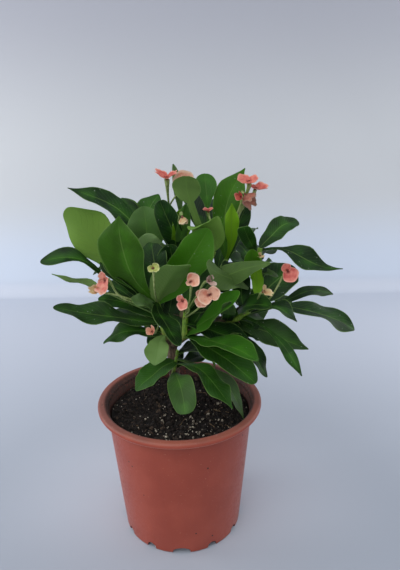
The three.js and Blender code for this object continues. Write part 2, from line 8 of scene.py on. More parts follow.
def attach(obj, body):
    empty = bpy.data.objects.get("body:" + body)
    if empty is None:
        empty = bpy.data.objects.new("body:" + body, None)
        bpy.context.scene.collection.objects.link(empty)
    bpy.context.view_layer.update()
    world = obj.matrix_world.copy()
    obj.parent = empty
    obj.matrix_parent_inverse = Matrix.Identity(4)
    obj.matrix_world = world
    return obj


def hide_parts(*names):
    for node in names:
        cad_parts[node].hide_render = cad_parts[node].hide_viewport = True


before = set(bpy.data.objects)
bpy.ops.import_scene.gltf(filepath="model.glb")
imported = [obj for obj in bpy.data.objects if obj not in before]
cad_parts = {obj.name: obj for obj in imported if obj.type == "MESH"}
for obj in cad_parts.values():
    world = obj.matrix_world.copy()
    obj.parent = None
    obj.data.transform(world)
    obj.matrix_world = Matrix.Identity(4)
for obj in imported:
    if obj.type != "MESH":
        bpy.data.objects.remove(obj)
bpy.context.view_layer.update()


# ------------------------------------------------------------------ pot
# A nursery pot, injection moulded in one shell of terracotta-coloured plastic: a thin tapering
# wall, a flared lip with rolled edges, and drain notches through the ring that it stands on.
MM = 0.001  # sizes are written in millimetres, and become metres through this
RIM_RADIUS = 65
POT_HEIGHT = 112
NECK_RADIUS = 57.7  # of the wall, where it meets the lip
NECK_HEIGHT = POT_HEIGHT - 5.5
FOOT_RADIUS = 48
FOOT_EDGE = 1.5
FOOT_RING = 10.5  # width of the flat ring that the pot stands on
HUB_RADIUS = 14  # the middle of the floor comes down to the ground too
DRAFT = 1.5  # how far the sides of the ring and of the hub lean
POT_WALL = 1.3
TAPER = (NECK_RADIUS - FOOT_RADIUS) / NECK_HEIGHT
FLOOR_TOP = 4.5
FLOOR_THICKNESS = 1.5
LIP_ROLL = 2.2  # radius of the lip's outer edge
LIP_EDGE = 1.8  # radius of its edges underneath and inside
NOTCHES = 12
WIDE_NOTCH = 15
NARROW_NOTCH = 9
NOTCH_HEIGHT = 5.5
NOTCH_DEPTH = 16
SPLASH_SPACING = 12  # between the splashes of soil on the wall


def arc(centre, radius, first, last, steps):
    """Points of a round stretch of an outline, angles in degrees from +X."""
    turns = [math.radians(first + (last - first) * i / steps) for i in range(steps + 1)]
    return [(centre[0] + radius * math.cos(a), centre[1] + radius * math.sin(a)) for a in turns]


def open_mesh():
    """Enters edit mode, with the whole of the active mesh selected."""
    bpy.ops.object.mode_set(mode="EDIT")
    bpy.ops.mesh.select_all(action="SELECT")


def close_mesh():
    """Turns the faces outward and leaves edit mode."""
    bpy.ops.mesh.select_all(action="SELECT")
    bpy.ops.mesh.normals_make_consistent(inside=False)
    bpy.ops.object.mode_set(mode="OBJECT")


def apply_transform():
    bpy.ops.object.transform_apply(location=True, rotation=True, scale=True)


def draw_line(name, points):
    """Starts a mesh at one point and extrudes it from point to point. It is left in edit mode."""
    bpy.ops.mesh.primitive_plane_add(size=MM, location=[c * MM for c in points[0]])
    apply_transform()
    piece = bpy.context.object
    piece.name = name
    open_mesh()
    bpy.ops.mesh.merge(type="CENTER")
    for here, there in zip(points, points[1:]):
        step = [(b - a) * MM for a, b in zip(here, there)]
        bpy.ops.mesh.extrude_region_move(TRANSFORM_OT_translate={"value": step})
    bpy.ops.mesh.select_all(action="SELECT")
    return piece


def spin_outline(name, outline, steps):
    """Spins an outline of (radius, height) round the Z axis into a closed body."""
    piece = draw_line(name, [(radius, 0, height) for radius, height in outline])
    bpy.ops.mesh.spin(steps=steps, angle=2 * math.pi, center=(0, 0, 0), axis=(0, 0, 1))
    bpy.ops.mesh.select_all(action="SELECT")
    bpy.ops.mesh.remove_doubles(threshold=0.01 * MM)
    close_mesh()
    return piece


def alone(piece):
    """Selects one piece and nothing else."""
    bpy.ops.object.select_all(action="DESELECT")
    piece.select_set(True)
    bpy.context.view_layer.objects.active = piece


def join(name, pieces):
    """Joins loose pieces into one mesh."""
    alone(pieces[0])
    for piece in pieces[1:]:
        piece.select_set(True)
    bpy.ops.object.join()
    pieces[0].name = name
    return pieces[0]


def smooth(piece, degrees):
    """Shades a piece smooth, with creases where its faces meet at more than an angle."""
    alone(piece)
    bpy.ops.object.shade_smooth_by_angle(angle=math.radians(degrees))


pot = spin_outline(
    "pot_shell",
    [
        (0, 0),
        (HUB_RADIUS, 0),
        (HUB_RADIUS + DRAFT, FLOOR_TOP - FLOOR_THICKNESS),
        (FOOT_RADIUS - FOOT_RING - DRAFT, FLOOR_TOP - FLOOR_THICKNESS),
        (FOOT_RADIUS - FOOT_RING, 0),
        *arc((FOOT_RADIUS - FOOT_EDGE, FOOT_EDGE), FOOT_EDGE, 270, 360, 5),
        *[(FOOT_RADIUS + TAPER * z, z) for z in (0.35 * NECK_HEIGHT, 0.7 * NECK_HEIGHT)],
        (NECK_RADIUS, NECK_HEIGHT),
        (NECK_RADIUS + 2.4, NECK_HEIGHT + 0.3),
        (RIM_RADIUS - 2.4, NECK_HEIGHT + 0.7),
        *arc((RIM_RADIUS - LIP_EDGE, NECK_HEIGHT + 2.6), LIP_EDGE, 280, 360, 5),
        *arc((RIM_RADIUS - LIP_ROLL, POT_HEIGHT - LIP_ROLL), LIP_ROLL, 0, 90, 6),
        *arc((RIM_RADIUS - 4.6, POT_HEIGHT - LIP_EDGE), LIP_EDGE, 90, 170, 5),
        (NECK_RADIUS - POT_WALL + 0.4, NECK_HEIGHT + 1.2),
        (NECK_RADIUS - POT_WALL, NECK_HEIGHT),
        (FOOT_RADIUS - POT_WALL, FLOOR_TOP),
        (0, FLOOR_TOP),
    ],
    steps=144,
)
cutters = []
for i in range(NOTCHES):
    half = (WIDE_NOTCH if i % 3 == 0 else NARROW_NOTCH) / 2
    across = (1, 0.7, 0.35, 0, -0.35, -0.7, -1)
    crown = [(x * (half - 1), NOTCH_HEIGHT - 2 * x * x) for x in across]
    arch = [(-half, -1), (half, -1), *crown]
    cutter = draw_line("notch", [(x, -FOOT_RADIUS - 2, z) for x, z in arch])
    bpy.ops.mesh.edge_face_add()
    bpy.ops.mesh.extrude_region_move(TRANSFORM_OT_translate={"value": (0, NOTCH_DEPTH * MM, 0)})
    close_mesh()
    cutter.data.transform(Matrix.Rotation(math.tau * i / NOTCHES, 4, "Z"))
    cutters.append(cutter)
notches = join("notches", cutters)
alone(pot)
cut = pot.modifiers.new("drain notches", "BOOLEAN")
cut.object = notches
cut.operation = "DIFFERENCE"
cut.solver = "EXACT"
bpy.ops.object.modifier_apply(modifier=cut.name)
bpy.data.objects.remove(notches)
smooth(pot, 35)


class Value:
    """One output of a shader node. Arithmetic on it adds Math nodes."""

    def __init__(self, finish, socket):
        self.finish = finish
        self.socket = socket

    def maths(self, operation, *values):
        return self.finish.node("Math", {"operation": operation}, dict(enumerate(values)))

    def __add__(self, other):
        return self.maths("ADD", self, other)

    def __radd__(self, other):
        return self.maths("ADD", other, self)

    def __sub__(self, other):
        return self.maths("SUBTRACT", self, other)

    def __rsub__(self, other):
        return self.maths("SUBTRACT", other, self)

    def __mul__(self, other):
        return self.maths("MULTIPLY", self, other)

    def __rmul__(self, other):
        return self.maths("MULTIPLY", other, self)

    def __truediv__(self, other):
        return self.maths("DIVIDE", self, other)

    def __pow__(self, other):
        return self.maths("POWER", self, other)

    def __abs__(self):
        return self.maths("ABSOLUTE", self)

    def above(self, low, high):
        """0 below low, 1 above high, and a soft step between them."""
        settings = {"interpolation_type": "SMOOTHSTEP"}
        return self.finish.node("MapRange", settings, {"Value": self, 1: low, 2: high})

    def zigzag(self):
        """Rises from 0 to 1 and falls back once for every 1 of the value."""
        return self.maths("PINGPONG", self, 0.5) * 2


class Finish:
    """A material in the making: node() adds a shader node and gives its first output."""

    def __init__(self, name):
        self.material = bpy.data.materials.new(name)
        self.material.use_nodes = True
        self.nodes = self.material.node_tree.nodes
        self.links = self.material.node_tree.links
        self.nodes.clear()

    def node(self, kind, settings=None, sockets=None, output=0):
        made = self.nodes.new("ShaderNode" + kind)
        for key, setting in (settings or {}).items():
            setattr(made, key, setting)
        for key, value in (sockets or {}).items():
            if isinstance(value, Value):
                self.links.new(value.socket, made.inputs[key])
            elif isinstance(value, tuple) and made.inputs[key].type == "RGBA":
                made.inputs[key].default_value = (*value, 1)
            else:
                made.inputs[key].default_value = value
        return Value(self, made.outputs[output]) if made.outputs else None

    def attribute(self, name):
        return self.node("Attribute", {"attribute_name": name}, output="Fac")

    def place(self, stretch=(1, 1, 1)):
        """Object coordinates in millimetres, with the pattern stretched along each axis."""
        where = self.node("TexCoord", output="Object")
        scale = tuple(1 / MM / s for s in stretch)
        return self.node("VectorMath", {"operation": "MULTIPLY"}, {0: where, 1: scale})

    def coordinate(self, axis):
        return self.node("SeparateXYZ", {}, {0: self.place()}, output=axis)

    def distance(self):
        """How far from the Z axis, in millimetres."""
        flat = self.node("VectorMath", {"operation": "MULTIPLY"}, {0: self.place(), 1: (1, 1, 0)})
        return self.node("VectorMath", {"operation": "LENGTH"}, {0: flat}, output="Value")

    def mottle(self, size, stretch=(1, 1, 1), detail=3):
        """Noise with blotches about size millimetres across, mostly between 0.3 and 0.7."""
        sockets = {"Vector": self.place(stretch), "Scale": 1 / size, "Detail": detail}
        return self.node("TexNoise", {}, sockets)

    def mix(self, share, first, second):
        """Blends two colours."""
        settings = {"data_type": "RGBA", "clamp_factor": True}
        return self.node("Mix", settings, {0: share, 6: first, 7: second}, output=2)

    def surface(self, constants, sockets, relief=None, depth=0.0):
        """Ends the material in a Principled shader, with relief as bumps depth mm high."""
        values = {**constants, **sockets}
        if relief is not None:
            bump = {"Height": relief, "Distance": depth * MM, "Strength": 1.0}
            values["Normal"] = self.node("Bump", {}, bump)
        return self.node("BsdfPrincipled", {}, values)

    def finish(self, shader):
        self.node("OutputMaterial", {}, {"Surface": shader})
        return self.material


def srgb(red, green, blue):
    """A colour written as 0 to 255 display values, as the linear value that shaders take."""
    shares = [c / 255 for c in (red, green, blue)]
    return tuple(s / 12.92 if s < 0.04045 else ((s + 0.055) / 1.055) ** 2.4 for s in shares)


def dress(piece, material, slot, *nodes):
    """Gives a piece its material, hangs it from the root body and hides the CAD parts that it
    stands for.
    """
    piece.data.materials.clear()
    piece.data.materials.append(material)
    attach(piece, "root")
    if nodes:
        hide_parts(*nodes)


def moulded_plastic():
    """Satin plastic, worn dull on top of the handled lip, with a painted highlight along the lip's
    lower edge, painted shade inside the pot and a few splashes of soil on the wall."""
    look = Finish("terracotta plastic")
    height, radius = look.coordinate("Z"), look.distance()
    outside = FOOT_RADIUS + height * TAPER
    cloud = look.mottle(26, detail=2)
    streak = look.mottle(5, stretch=(1, 1, 9))
    rub = look.mottle(2.4, detail=6)
    body = look.mix(cloud.above(0.35, 0.7), srgb(152, 66, 48), srgb(161, 73, 54))
    body = look.mix(streak.above(0.5, 0.75) * 0.12, body, srgb(128, 54, 42))
    top = height.above(POT_HEIGHT - LIP_ROLL, POT_HEIGHT - 0.4)
    worn = look.mix(cloud.above(0.35, 0.65), srgb(120, 74, 64), srgb(146, 82, 66))
    body = look.mix(top * 0.85, body, worn)
    scuff = rub.above(0.6, 0.78) * (0.08 + 0.3 * top)
    body = look.mix(scuff, body, srgb(176, 140, 124))
    # Painted shade: the inside of the pot and of its lip darkened to a blotchy near-black brown.
    in_lip = height.above(NECK_HEIGHT + 0.2, NECK_HEIGHT + 0.8)
    inside_shade = 1 - (radius - outside).above(-1.0, -0.3)
    inside_shade = inside_shade + in_lip * (1 - radius.above(NECK_RADIUS + 0.5, RIM_RADIUS - 4))
    inside_shade_tone = look.mix(rub.above(0.4, 0.66), srgb(34, 25, 22), srgb(84, 50, 42))
    body = look.mix(inside_shade * (0.7 + 0.3 * rub.above(0.35, 0.5)), body, inside_shade_tone)
    spots = {"Vector": look.place(), "Scale": 1 / SPLASH_SPACING}
    splash = 1 - look.node("TexVoronoi", {}, spots).above(0.05, 0.075)
    body = look.mix(splash, body, srgb(46, 32, 26))
    # Painted highlight: a pale line along the lower edge of the lip.
    lip_edge_highlight = height.above(NECK_HEIGHT + 0.5, NECK_HEIGHT + 0.9)
    lip_edge_highlight = lip_edge_highlight * (radius - outside).above(1, 3)
    lip_edge_highlight = lip_edge_highlight * (1 - height.above(NECK_HEIGHT + 1.5, NECK_HEIGHT + 2.4))
    body = look.mix(lip_edge_highlight * 0.5, body, srgb(208, 132, 112))
    dust = look.mottle(0.9, detail=0).above(0.8, 0.84)
    body = look.mix(dust * 0.4, body, srgb(196, 140, 112))
    grain = look.mottle(0.7, detail=2)
    rough = 0.34 + 0.12 * rub.above(0.4, 0.7) + 0.14 * top + 0.3 * inside_shade
    shader = look.surface(
        {"IOR": 1.45, "Specular IOR Level": 0.5},
        {"Base Color": body, "Roughness": rough},
        relief=grain * 0.3 + streak * 0.6,
        depth=0.05,
    )
    return look.finish(shader)


dress(pot, moulded_plastic(), "terracotta_plastic", "pot")


# ------------------------------------------------------------------ potting soil
# Moist peat mix filled to a finger's width below the lip. It is a dark hummocky bed, strewn with
# crumbs of peat, white bits of expanded perlite, chips of bark and a few dry twigs.
SOIL_LEVEL = 101
SOIL_HUMMOCK = 1.8
SOIL_GAP = 0.8  # to the wall of the pot
SOIL_BOTTOM = FLOOR_TOP + 0.3
TRUNK_FOOT_RADIUS = 4.6
DRIFT_PLACE = (5, -27)  # where watering has washed most of the light bits
DRIFT_RADIUS = 24


def inside_radius(height):
    """Radius of the pot's inside at a height, less the gap round the soil."""
    return FOOT_RADIUS - POT_WALL + TAPER * (height - FLOOR_TOP) - SOIL_GAP


def soil_height(x, y):
    swell = 0.6 * math.sin(x / 11 + 1) * math.cos(y / 14) + 0.4 * math.sin((x - y) / 7 + 2)
    clods = noise.fractal(Vector((x, y, 4)) / 4.5, 1.0, 2.0, 4)
    return SOIL_LEVEL + SOIL_HUMMOCK * swell + 0.9 * clods


SOIL_EDGE = inside_radius(SOIL_LEVEL)
SOIL_RINGS = 42
TWIG_HALF = 5  # half the length of a twig
TWIG_RADIUS = 0.32
soil = spin_outline(
    "soil_bed",
    [
        (0, SOIL_BOTTOM),
        (inside_radius(FLOOR_TOP), SOIL_BOTTOM),
        (inside_radius(SOIL_LEVEL - 5), SOIL_LEVEL - 5),
        *[(SOIL_EDGE * (1 - i / SOIL_RINGS), SOIL_LEVEL) for i in range(SOIL_RINGS + 1)],
    ],
    steps=160,
)
for vertex in soil.data.vertices:
    if vertex.co.z > (SOIL_LEVEL - 1) * MM:
        vertex.co.z = soil_height(vertex.co.x / MM, vertex.co.y / MM) * MM
smooth(soil, 60)


def peat():
    """Near-black moist peat, browner and rougher where it has dried on the crests."""
    look = Finish("peat")
    clods = look.mottle(3, detail=6)
    crumbs = look.node("TexVoronoi", {}, {"Vector": look.place(), "Scale": 0.9})
    body = look.mix(clods.above(0.4, 0.68), srgb(9, 7, 7), srgb(34, 25, 21))
    body = look.mix(crumbs.above(0.25, 0.7) * 0.5, body, srgb(24, 18, 15))
    shader = look.surface(
        {"Specular IOR Level": 0.25},
        {"Base Color": body, "Roughness": 0.75 + 0.25 * clods},
        relief=clods * 1.5 + crumbs,
        depth=0.9,
    )
    return look.finish(shader)


def mineral(name, dark, light, roughness):
    """A dull mottled finish for the bits that lie in the soil."""
    look = Finish(name)
    patches = look.mottle(1.1, detail=4)
    body = look.mix(patches.above(0.38, 0.66), dark, light)
    shader = look.surface({"Roughness": roughness}, {"Base Color": body}, patches, 0.25)
    return look.finish(shader)


def lump(name, squash, faces=1, rough=0.25):
    """One rough bit, modelled from a ball of 20 or 80 faces, about 1 mm in radius."""
    bpy.ops.mesh.primitive_ico_sphere_add(subdivisions=faces, radius=MM)
    bit = bpy.context.object
    bit.name = name
    open_mesh()
    bpy.ops.transform.vertex_random(offset=rough * MM, seed=3)
    bpy.ops.transform.resize(value=squash, center_override=(0, 0, 0))
    bpy.ops.object.mode_set(mode="OBJECT")
    return bit


def twig_blank():
    """A dry twig 10 mm long, a little crooked, lying along X."""
    size = {"radius": TWIG_RADIUS * MM, "depth": 2 * TWIG_HALF * MM}
    bpy.ops.mesh.primitive_cylinder_add(vertices=6, rotation=(0, math.pi / 2, 0), **size)
    twig = bpy.context.object
    apply_transform()
    open_mesh()
    bpy.ops.mesh.subdivide(number_cuts=3)
    bpy.ops.transform.vertex_random(offset=0.14 * MM, seed=8)
    bpy.ops.object.mode_set(mode="OBJECT")
    for vertex in twig.data.vertices:
        vertex.co.y += 0.5 * MM * math.sin(vertex.co.x / MM * 0.55 + 0.6)
    return twig


def put_out(name, data):
    """Adds an object with a mesh or other data of its own to the scene."""
    made = bpy.data.objects.new(name, data)
    bpy.context.collection.objects.link(made)
    return made


def strew(name, bit, count, sizes, seed, sink=0.2, lying=False, drift=0):
    """Strews copies of a bit over the soil, turned at random and joined into one piece."""
    draw = random.Random(seed)
    copies = []
    while len(copies) < count:
        radius = SOIL_EDGE * math.sqrt(draw.random()) - 0.6
        angle = draw.uniform(0, math.tau)
        x, y = radius * math.cos(angle), radius * math.sin(angle)
        nearness = math.exp(-(math.dist((x, y), DRIFT_PLACE) ** 2) / DRIFT_RADIUS**2)
        if draw.random() < drift * (1 - nearness):
            continue
        size = draw.uniform(*sizes) * draw.uniform(0.6, 1)
        turn = Quaternion([draw.gauss(0, 1) for _ in range(4)]).normalized().to_matrix().to_4x4()
        if lying:
            turn = Matrix.Rotation(draw.uniform(0, math.tau), 4, "Z")
            turn @= Matrix.Rotation(draw.uniform(-0.12, 0.12), 4, "Y")
        room = size * (TWIG_HALF if lying else 1)
        if radius < TRUNK_FOOT_RADIUS + room or radius > SOIL_EDGE - room:
            continue
        copy = put_out(name, bit.data.copy())
        spot = Vector((x, y, soil_height(x, y) + size * (0.5 - sink))) * MM
        copy.data.transform(Matrix.Translation(spot) @ turn @ Matrix.Scale(size, 4))
        copies.append(copy)
    bpy.data.objects.remove(bit)
    return join(name, copies)


dress(soil, peat(), "potting_soil", "potting_soil")
crumbs = strew("peat_crumbs", lump("crumb", (1, 0.9, 0.7)), 1500, (0.5, 2.3), seed=11)
dress(crumbs, mineral("dry peat", srgb(13, 10, 8), srgb(44, 32, 25), 0.95), "potting_soil")
grain = lump("grain", (1, 0.8, 0.75))
perlite = strew("perlite", grain, 210, (0.3, 0.95), seed=23, sink=0, drift=0.8)
white_mineral = mineral("perlite white", srgb(112, 102, 86), srgb(212, 204, 188), 0.9)
dress(perlite, white_mineral, "potting_soil")
clump = lump("clump", (1, 0.7, 0.5), faces=2, rough=0.5)
clumps = strew("perlite_clumps", clump, 44, (0.8, 2.3), seed=43, sink=0.1, drift=0.93)
dress(clumps, mineral("perlite tan", srgb(84, 73, 60), srgb(204, 194, 176), 0.9), "potting_soil")
twigs = strew("twigs", twig_blank(), 22, (0.35, 1.3), seed=61, sink=-0.2, lying=True)
dress(twigs, mineral("dry twig", srgb(62, 46, 34), srgb(136, 112, 84), 0.9), "potting_soil")
chips = strew("bark_chips", lump("chip", (1.5, 0.7, 0.28)), 170, (0.8, 2.4), seed=5, sink=0.1)
dress(chips, mineral("bark chips", srgb(38, 28, 22), srgb(84, 66, 50), 0.9), "potting_soil")


# ------------------------------------------------------------------ woody stem
# The old wood: a brown trunk that leans and forks, with a short branch for each green stem. It
# grew as one, so its forks run smoothly into each other; stiff dark spines stand all round it.
TRUNK_RADII = (TRUNK_FOOT_RADIUS, 4)
TRUNK_FOOT = 78
BRANCH_RADII = (3.6, 3)
FORK = (-5, 0, 157)
CROWN = (-1, 2, 170)
TRUNK = [(0, 0, TRUNK_FOOT), (0, 0, 95), (0, 0, 107), (-3.5, 0, 131), FORK]
BRANCHES = {
    "left": [FORK, (-8, -4, 166)],
    "back_left": [FORK, (-9, 6, 168), (-14, 14, 186)],
    "centre": [FORK, (-4, 7, 166), (-3, 12, 180)],
    "top": [FORK, CROWN, (8, 3, 188), (15, 3, 203)],
    "top_right": [CROWN, (10, 7, 181), (22, 11, 196)],
    "right": [FORK, (6, 1, 165), (30, 4, 174), (48, 8, 182), (57, 7, 192)],
    "right_low": [(20, 2, 170), (30, -4, 176), (38, -10, 181)],
    "front": [FORK, (0, -5, 163), (4, -9, 168)],
    "low": [(-3.5, 0, 131), (-4, -7, 136)],
}
PATH_STEPS = 200
GOLDEN_TURN = 137.5
THORN_LENGTH = 6.5
THORN_RADIUS = 0.75
THORN_SPACING = 10
WOOD_GRAIN = 0.55  # cell of the net in which trunk and branches grow together
FURROW_DEPTH = 0.18


def smooth_path(points):
    """A centripetal Catmull-Rom curve through points, at PATH_STEPS even steps of its length."""
    knots = [Vector(p) for p in points]
    knots = [2 * knots[0] - knots[1], *knots, 2 * knots[-1] - knots[-2]]
    fine = []
    for a, b, c, d in zip(knots, knots[1:], knots[2:], knots[3:]):
        before, span, after = (math.sqrt((q - p).length) for p, q in ((a, b), (b, c), (c, d)))
        leave = span * ((b - a) / before - (c - a) / (before + span)) + (c - b)
        arrive = span * ((d - c) / after - (d - b) / (span + after)) + (c - b)
        for i in range(40):
            t = i / 40
            hermite = (2 * t**3 - 3 * t**2 + 1) * b + (3 * t**2 - 2 * t**3) * c
            fine.append(hermite + (t**3 - 2 * t**2 + t) * leave + (t**3 - t**2) * arrive)
    fine.append(knots[-2])
    lengths = [0.0]
    for here, there in zip(fine, fine[1:]):
        lengths.append(lengths[-1] + (there - here).length)
    even = []
    at = 0
    for i in range(PATH_STEPS + 1):
        wanted = lengths[-1] * i / PATH_STEPS
        while at < len(fine) - 2 and lengths[at + 1] < wanted:
            at += 1
        share = (wanted - lengths[at]) / max(lengths[at + 1] - lengths[at], 1e-9)
        even.append(fine[at].lerp(fine[at + 1], min(1, share)))
    return even


def point_on(path, share):
    return path[round(share * PATH_STEPS)]


def tube(name, path, radius_at, sides, step=4):
    """A round stem along a path; radius_at gives its radius in mm for each share of the way."""
    curve = bpy.data.curves.new(name, "CURVE")
    curve.dimensions = "3D"
    curve.bevel_depth = MM
    curve.bevel_resolution = max(0, sides // 2 - 2)
    curve.use_fill_caps = True
    spline = curve.splines.new("POLY")
    chosen = list(range(0, PATH_STEPS + 1, step))
    spline.points.add(len(chosen) - 1)
    for point, i in zip(spline.points, chosen):
        point.co = (*(path[i] * MM), 1)
        point.radius = radius_at(i / PATH_STEPS)
    piece = put_out(name, curve)
    alone(piece)
    bpy.ops.object.convert(target="MESH")
    open_mesh()
    bpy.ops.mesh.remove_doubles(threshold=0.005 * MM)
    close_mesh()
    return piece


def even_taper(first, last):
    return lambda share: first + (last - first) * share


def model_thorn():
    """One spine: a slender cone, flared where it leaves the stem. It is 1 long and 1 in radius."""
    bpy.ops.mesh.primitive_cone_add(
        vertices=7, radius1=1, radius2=0.08, depth=1, location=(0, 0, 0.5)
    )
    spine = bpy.context.object
    apply_transform()
    for height, width in ((0.15, 0.62), (0.55, 0.34)):
        open_mesh()
        bpy.ops.mesh.bisect(plane_co=(0, 0, height), plane_no=(0, 0, 1))
        bpy.ops.object.mode_set(mode="OBJECT")
        for vertex in spine.data.vertices:
            if abs(vertex.co.z - height) < 1e-4:
                flat = Vector((vertex.co.x, vertex.co.y)).normalized() * width
                vertex.co.x, vertex.co.y = flat
    return spine


thorn = model_thorn()


def grow_thorns(path, stem_radius, first, last, count, turn=0.0, size=1.0):
    """Copies of the spine in a spiral up a stem, some longer than others."""
    grown = []
    for i in range(count):
        share = first + (last - first) * i / max(1, count - 1)
        at = round(share * PATH_STEPS)
        stem = (path[min(at + 1, PATH_STEPS)] - path[max(at - 1, 0)]).normalized()
        azimuth = math.radians(turn + GOLDEN_TURN * i)
        outward = Vector((math.cos(azimuth), math.sin(azimuth), 0.3))
        outward = (outward - stem * outward.dot(stem)).normalized()
        reach = stem_radius + size * THORN_LENGTH * (0.75 + 0.4 * abs(math.sin(i * 2.3)))
        root = stem_radius * 0.6
        copy = put_out("thorn", thorn.data.copy())
        shape = Matrix.Diagonal((THORN_RADIUS * MM, THORN_RADIUS * MM, (reach - root) * MM, 1))
        aim = outward.to_track_quat("Z", "Y").to_matrix().to_4x4()
        foot = Matrix.Translation((path[at] + outward * root) * MM)
        copy.data.transform(foot @ aim @ shape)
        grown.append(copy)
    return grown


def trunk_radius(share):
    """Thickest at the foot, with low swellings where old leaves stood."""
    swell = 0.14 * math.sin(share * 46) + 0.1 * math.sin(share * 29 + 2)
    return TRUNK_RADII[0] + (TRUNK_RADII[1] - TRUNK_RADII[0]) * share + swell


trunk_path = smooth_path(TRUNK)
wood = [tube("trunk", trunk_path, trunk_radius, 20)]
spines = grow_thorns(trunk_path, TRUNK_RADII[0], 0.4, 0.95, count=12)
for points in BRANCHES.values():
    path = smooth_path(points)
    wood.append(tube("branch", path, even_taper(*BRANCH_RADII), 16, step=8))
    length = sum((b - a).length for a, b in zip(path, path[1:]))
    count = int(length / THORN_SPACING)
    spines += grow_thorns(path, BRANCH_RADII[1], 0.35, 0.9, count, turn=70, size=0.8)
woody_stem = join("woody_stem_bark", wood)
alone(woody_stem)
grown_together = woody_stem.modifiers.new("grown together", "REMESH")
grown_together.mode = "VOXEL"
grown_together.voxel_size = WOOD_GRAIN * MM
bpy.ops.object.modifier_apply(modifier=grown_together.name)
eased = woody_stem.modifiers.new("eased forks", "SMOOTH")
eased.factor = 0.5
eased.iterations = 6
bpy.ops.object.modifier_apply(modifier=eased.name)
outward_of = [vertex.normal.copy() for vertex in woody_stem.data.vertices]
for vertex, outward in zip(woody_stem.data.vertices, outward_of):
    where = vertex.co / MM
    furrow = noise.fractal(Vector((where.x, where.y, where.z / 3)) * 0.7, 1.0, 2.0, 3)
    vertex.co += outward * furrow * FURROW_DEPTH * MM
bpy.ops.object.shade_smooth()
woody_spines = join("woody_stem_spines", spines)
smooth(woody_spines, 40)


def bark():
    """Brown-grey furrowed bark with pale scars, greener towards the young ends."""
    look = Finish("bark")
    furrow = look.mottle(1.6, stretch=(1, 1, 4), detail=5)
    patch = look.mottle(6)
    body = look.mix(furrow.above(0.35, 0.65), srgb(58, 42, 32), srgb(118, 96, 76))
    body = look.mix(patch.above(0.5, 0.7) * 0.6, body, srgb(140, 126, 104))
    young = look.coordinate("Z").above(150, 205) * 0.75
    body = look.mix(young, body, srgb(86, 92, 48))
    shader = look.surface({}, {"Base Color": body, "Roughness": 0.7 + 0.2 * furrow}, furrow, 0.5)
    return look.finish(shader)


def spine_horn():
    """Horny spines, dark grey-brown and slightly glossy."""
    look = Finish("spine horn")
    tone = look.mottle(2.2)
    body = look.mix(tone.above(0.35, 0.65), srgb(72, 52, 40), srgb(134, 108, 84))
    shader = look.surface({"Roughness": 0.5}, {"Base Color": body}, tone, 0.1)
    return look.finish(shader)


thorn_finish = spine_horn()
dress(woody_stem, bark(), "brown_bark", "woody_stem")
dress(woody_spines, thorn_finish, "brown_bark", "woody_stem")


# ------------------------------------------------------------------ leafy stems
# Nine green shoots stand on the branches. Each carries spoon-shaped leaves, waved at their edges,
# with a pale midrib and a lighter underside, short spines, and thin stalks for its blooms. The
# leaves and stalks of one shoot grow from it, in the order in which they are listed.
SHOOT_RADII = (2.7, 1.9)
JOINT_GAP = 0.3
STRAIGHT_FOOT = 3
SHOOT_SINK = 0.5  # how deep a shoot starts inside its branch
STALK_RADIUS = 0.62
STALK_STRAIGHT = 2  # length of a stalk's straight end under its cup
PETIOLE = 1.2  # half the width of a leaf's foot
LEAF_TIP = 0.4
BLADE = 0.5  # thickness of a leaf beside its midrib
RIB = 0.9  # how far the midrib stands out below the foot, and half its width
GROOVE = 0.18
GROOVE_WIDTH = 0.5
DISC_FOOT = 0.06  # share of the width that the foot of a round leaf keeps
LEAF_STEPS = 26
LEAF_LANES = 12
UNDULATION = 1.35  # height of the edges' waves, beside that of the plain solids
PLAIN_LEAF = {
    "face": None,  # degrees, from above, that the blade's length runs to; None follows the tip
    "arch": 5,  # height of the midrib's middle over a straight line
    "sway": 0,  # the same to one side
    "lean": 0,  # lifts the outer half of the midrib and lowers the inner half
    "roll": 0,  # degrees that the whole blade is turned round its midrib
    "twist": 0,  # degrees that the tip is turned further
    "fold": 0.2,  # how steeply the halves rise from the midrib
    "wave": 1.2,  # height of the waves along the edges
    "waves": 1.6,
    "phase": 0,
    "widest": 0.68,  # share of the way to the tip
    "blunt": 0.62,  # above 1 makes the outline slender
    "point": 0.15,  # how far the very end is drawn in to a point
    "neck": 1,  # above 1 draws the foot of the blade in
    "disc": 0,  # share of the length that is a round disc on a narrow foot
    "light": 0,  # shares of fresh green, of yellow-green, and of grey-green that paints a sheen
    "lime": 0,
    "pale": 0,
}


def set_values(mesh, name, values):
    """Stores one number for each point of a mesh, for its material to read."""
    layer = mesh.attributes.get(name) or mesh.attributes.new(name, "FLOAT", "POINT")
    layer.data.foreach_set("value", values)


def flat_slab(columns, rows):
    """A square slab, 2 wide and 1 thick, to be bent into a leaf or a bract."""
    bpy.ops.mesh.primitive_grid_add(x_subdivisions=columns, y_subdivisions=rows, size=2)
    open_mesh()
    bpy.ops.mesh.extrude_region_move(TRANSFORM_OT_translate={"value": (0, 0, 1)})
    close_mesh()
    return bpy.context.object


def model_blade():
    """A flat blade that knows its place along and across, closer set at its tip and edges."""
    slab = flat_slab(LEAF_STEPS, LEAF_LANES)
    places = [v.co.copy() for v in slab.data.vertices]
    shares = [1 - (1 - (p.x + 1) / 2) ** 1.7 for p in places]
    across = [math.copysign(1 - (1 - abs(p.y)) ** 1.25, p.y) for p in places]
    set_values(slab.data, "along", shares)
    set_values(slab.data, "across", across)
    set_values(slab.data, "upper", [p.z for p in places])
    return slab, list(zip(shares, across, (p.z for p in places)))


blade, blade_places = model_blade()
leaf_luck = random.Random(41)


def leaf(at, tip, width, **shape):
    """One leaf: how far along its shoot it stands, where its tip is, and how it is bent."""
    return {**PLAIN_LEAF, "at": at, "tip": tip, "width": width, **shape}


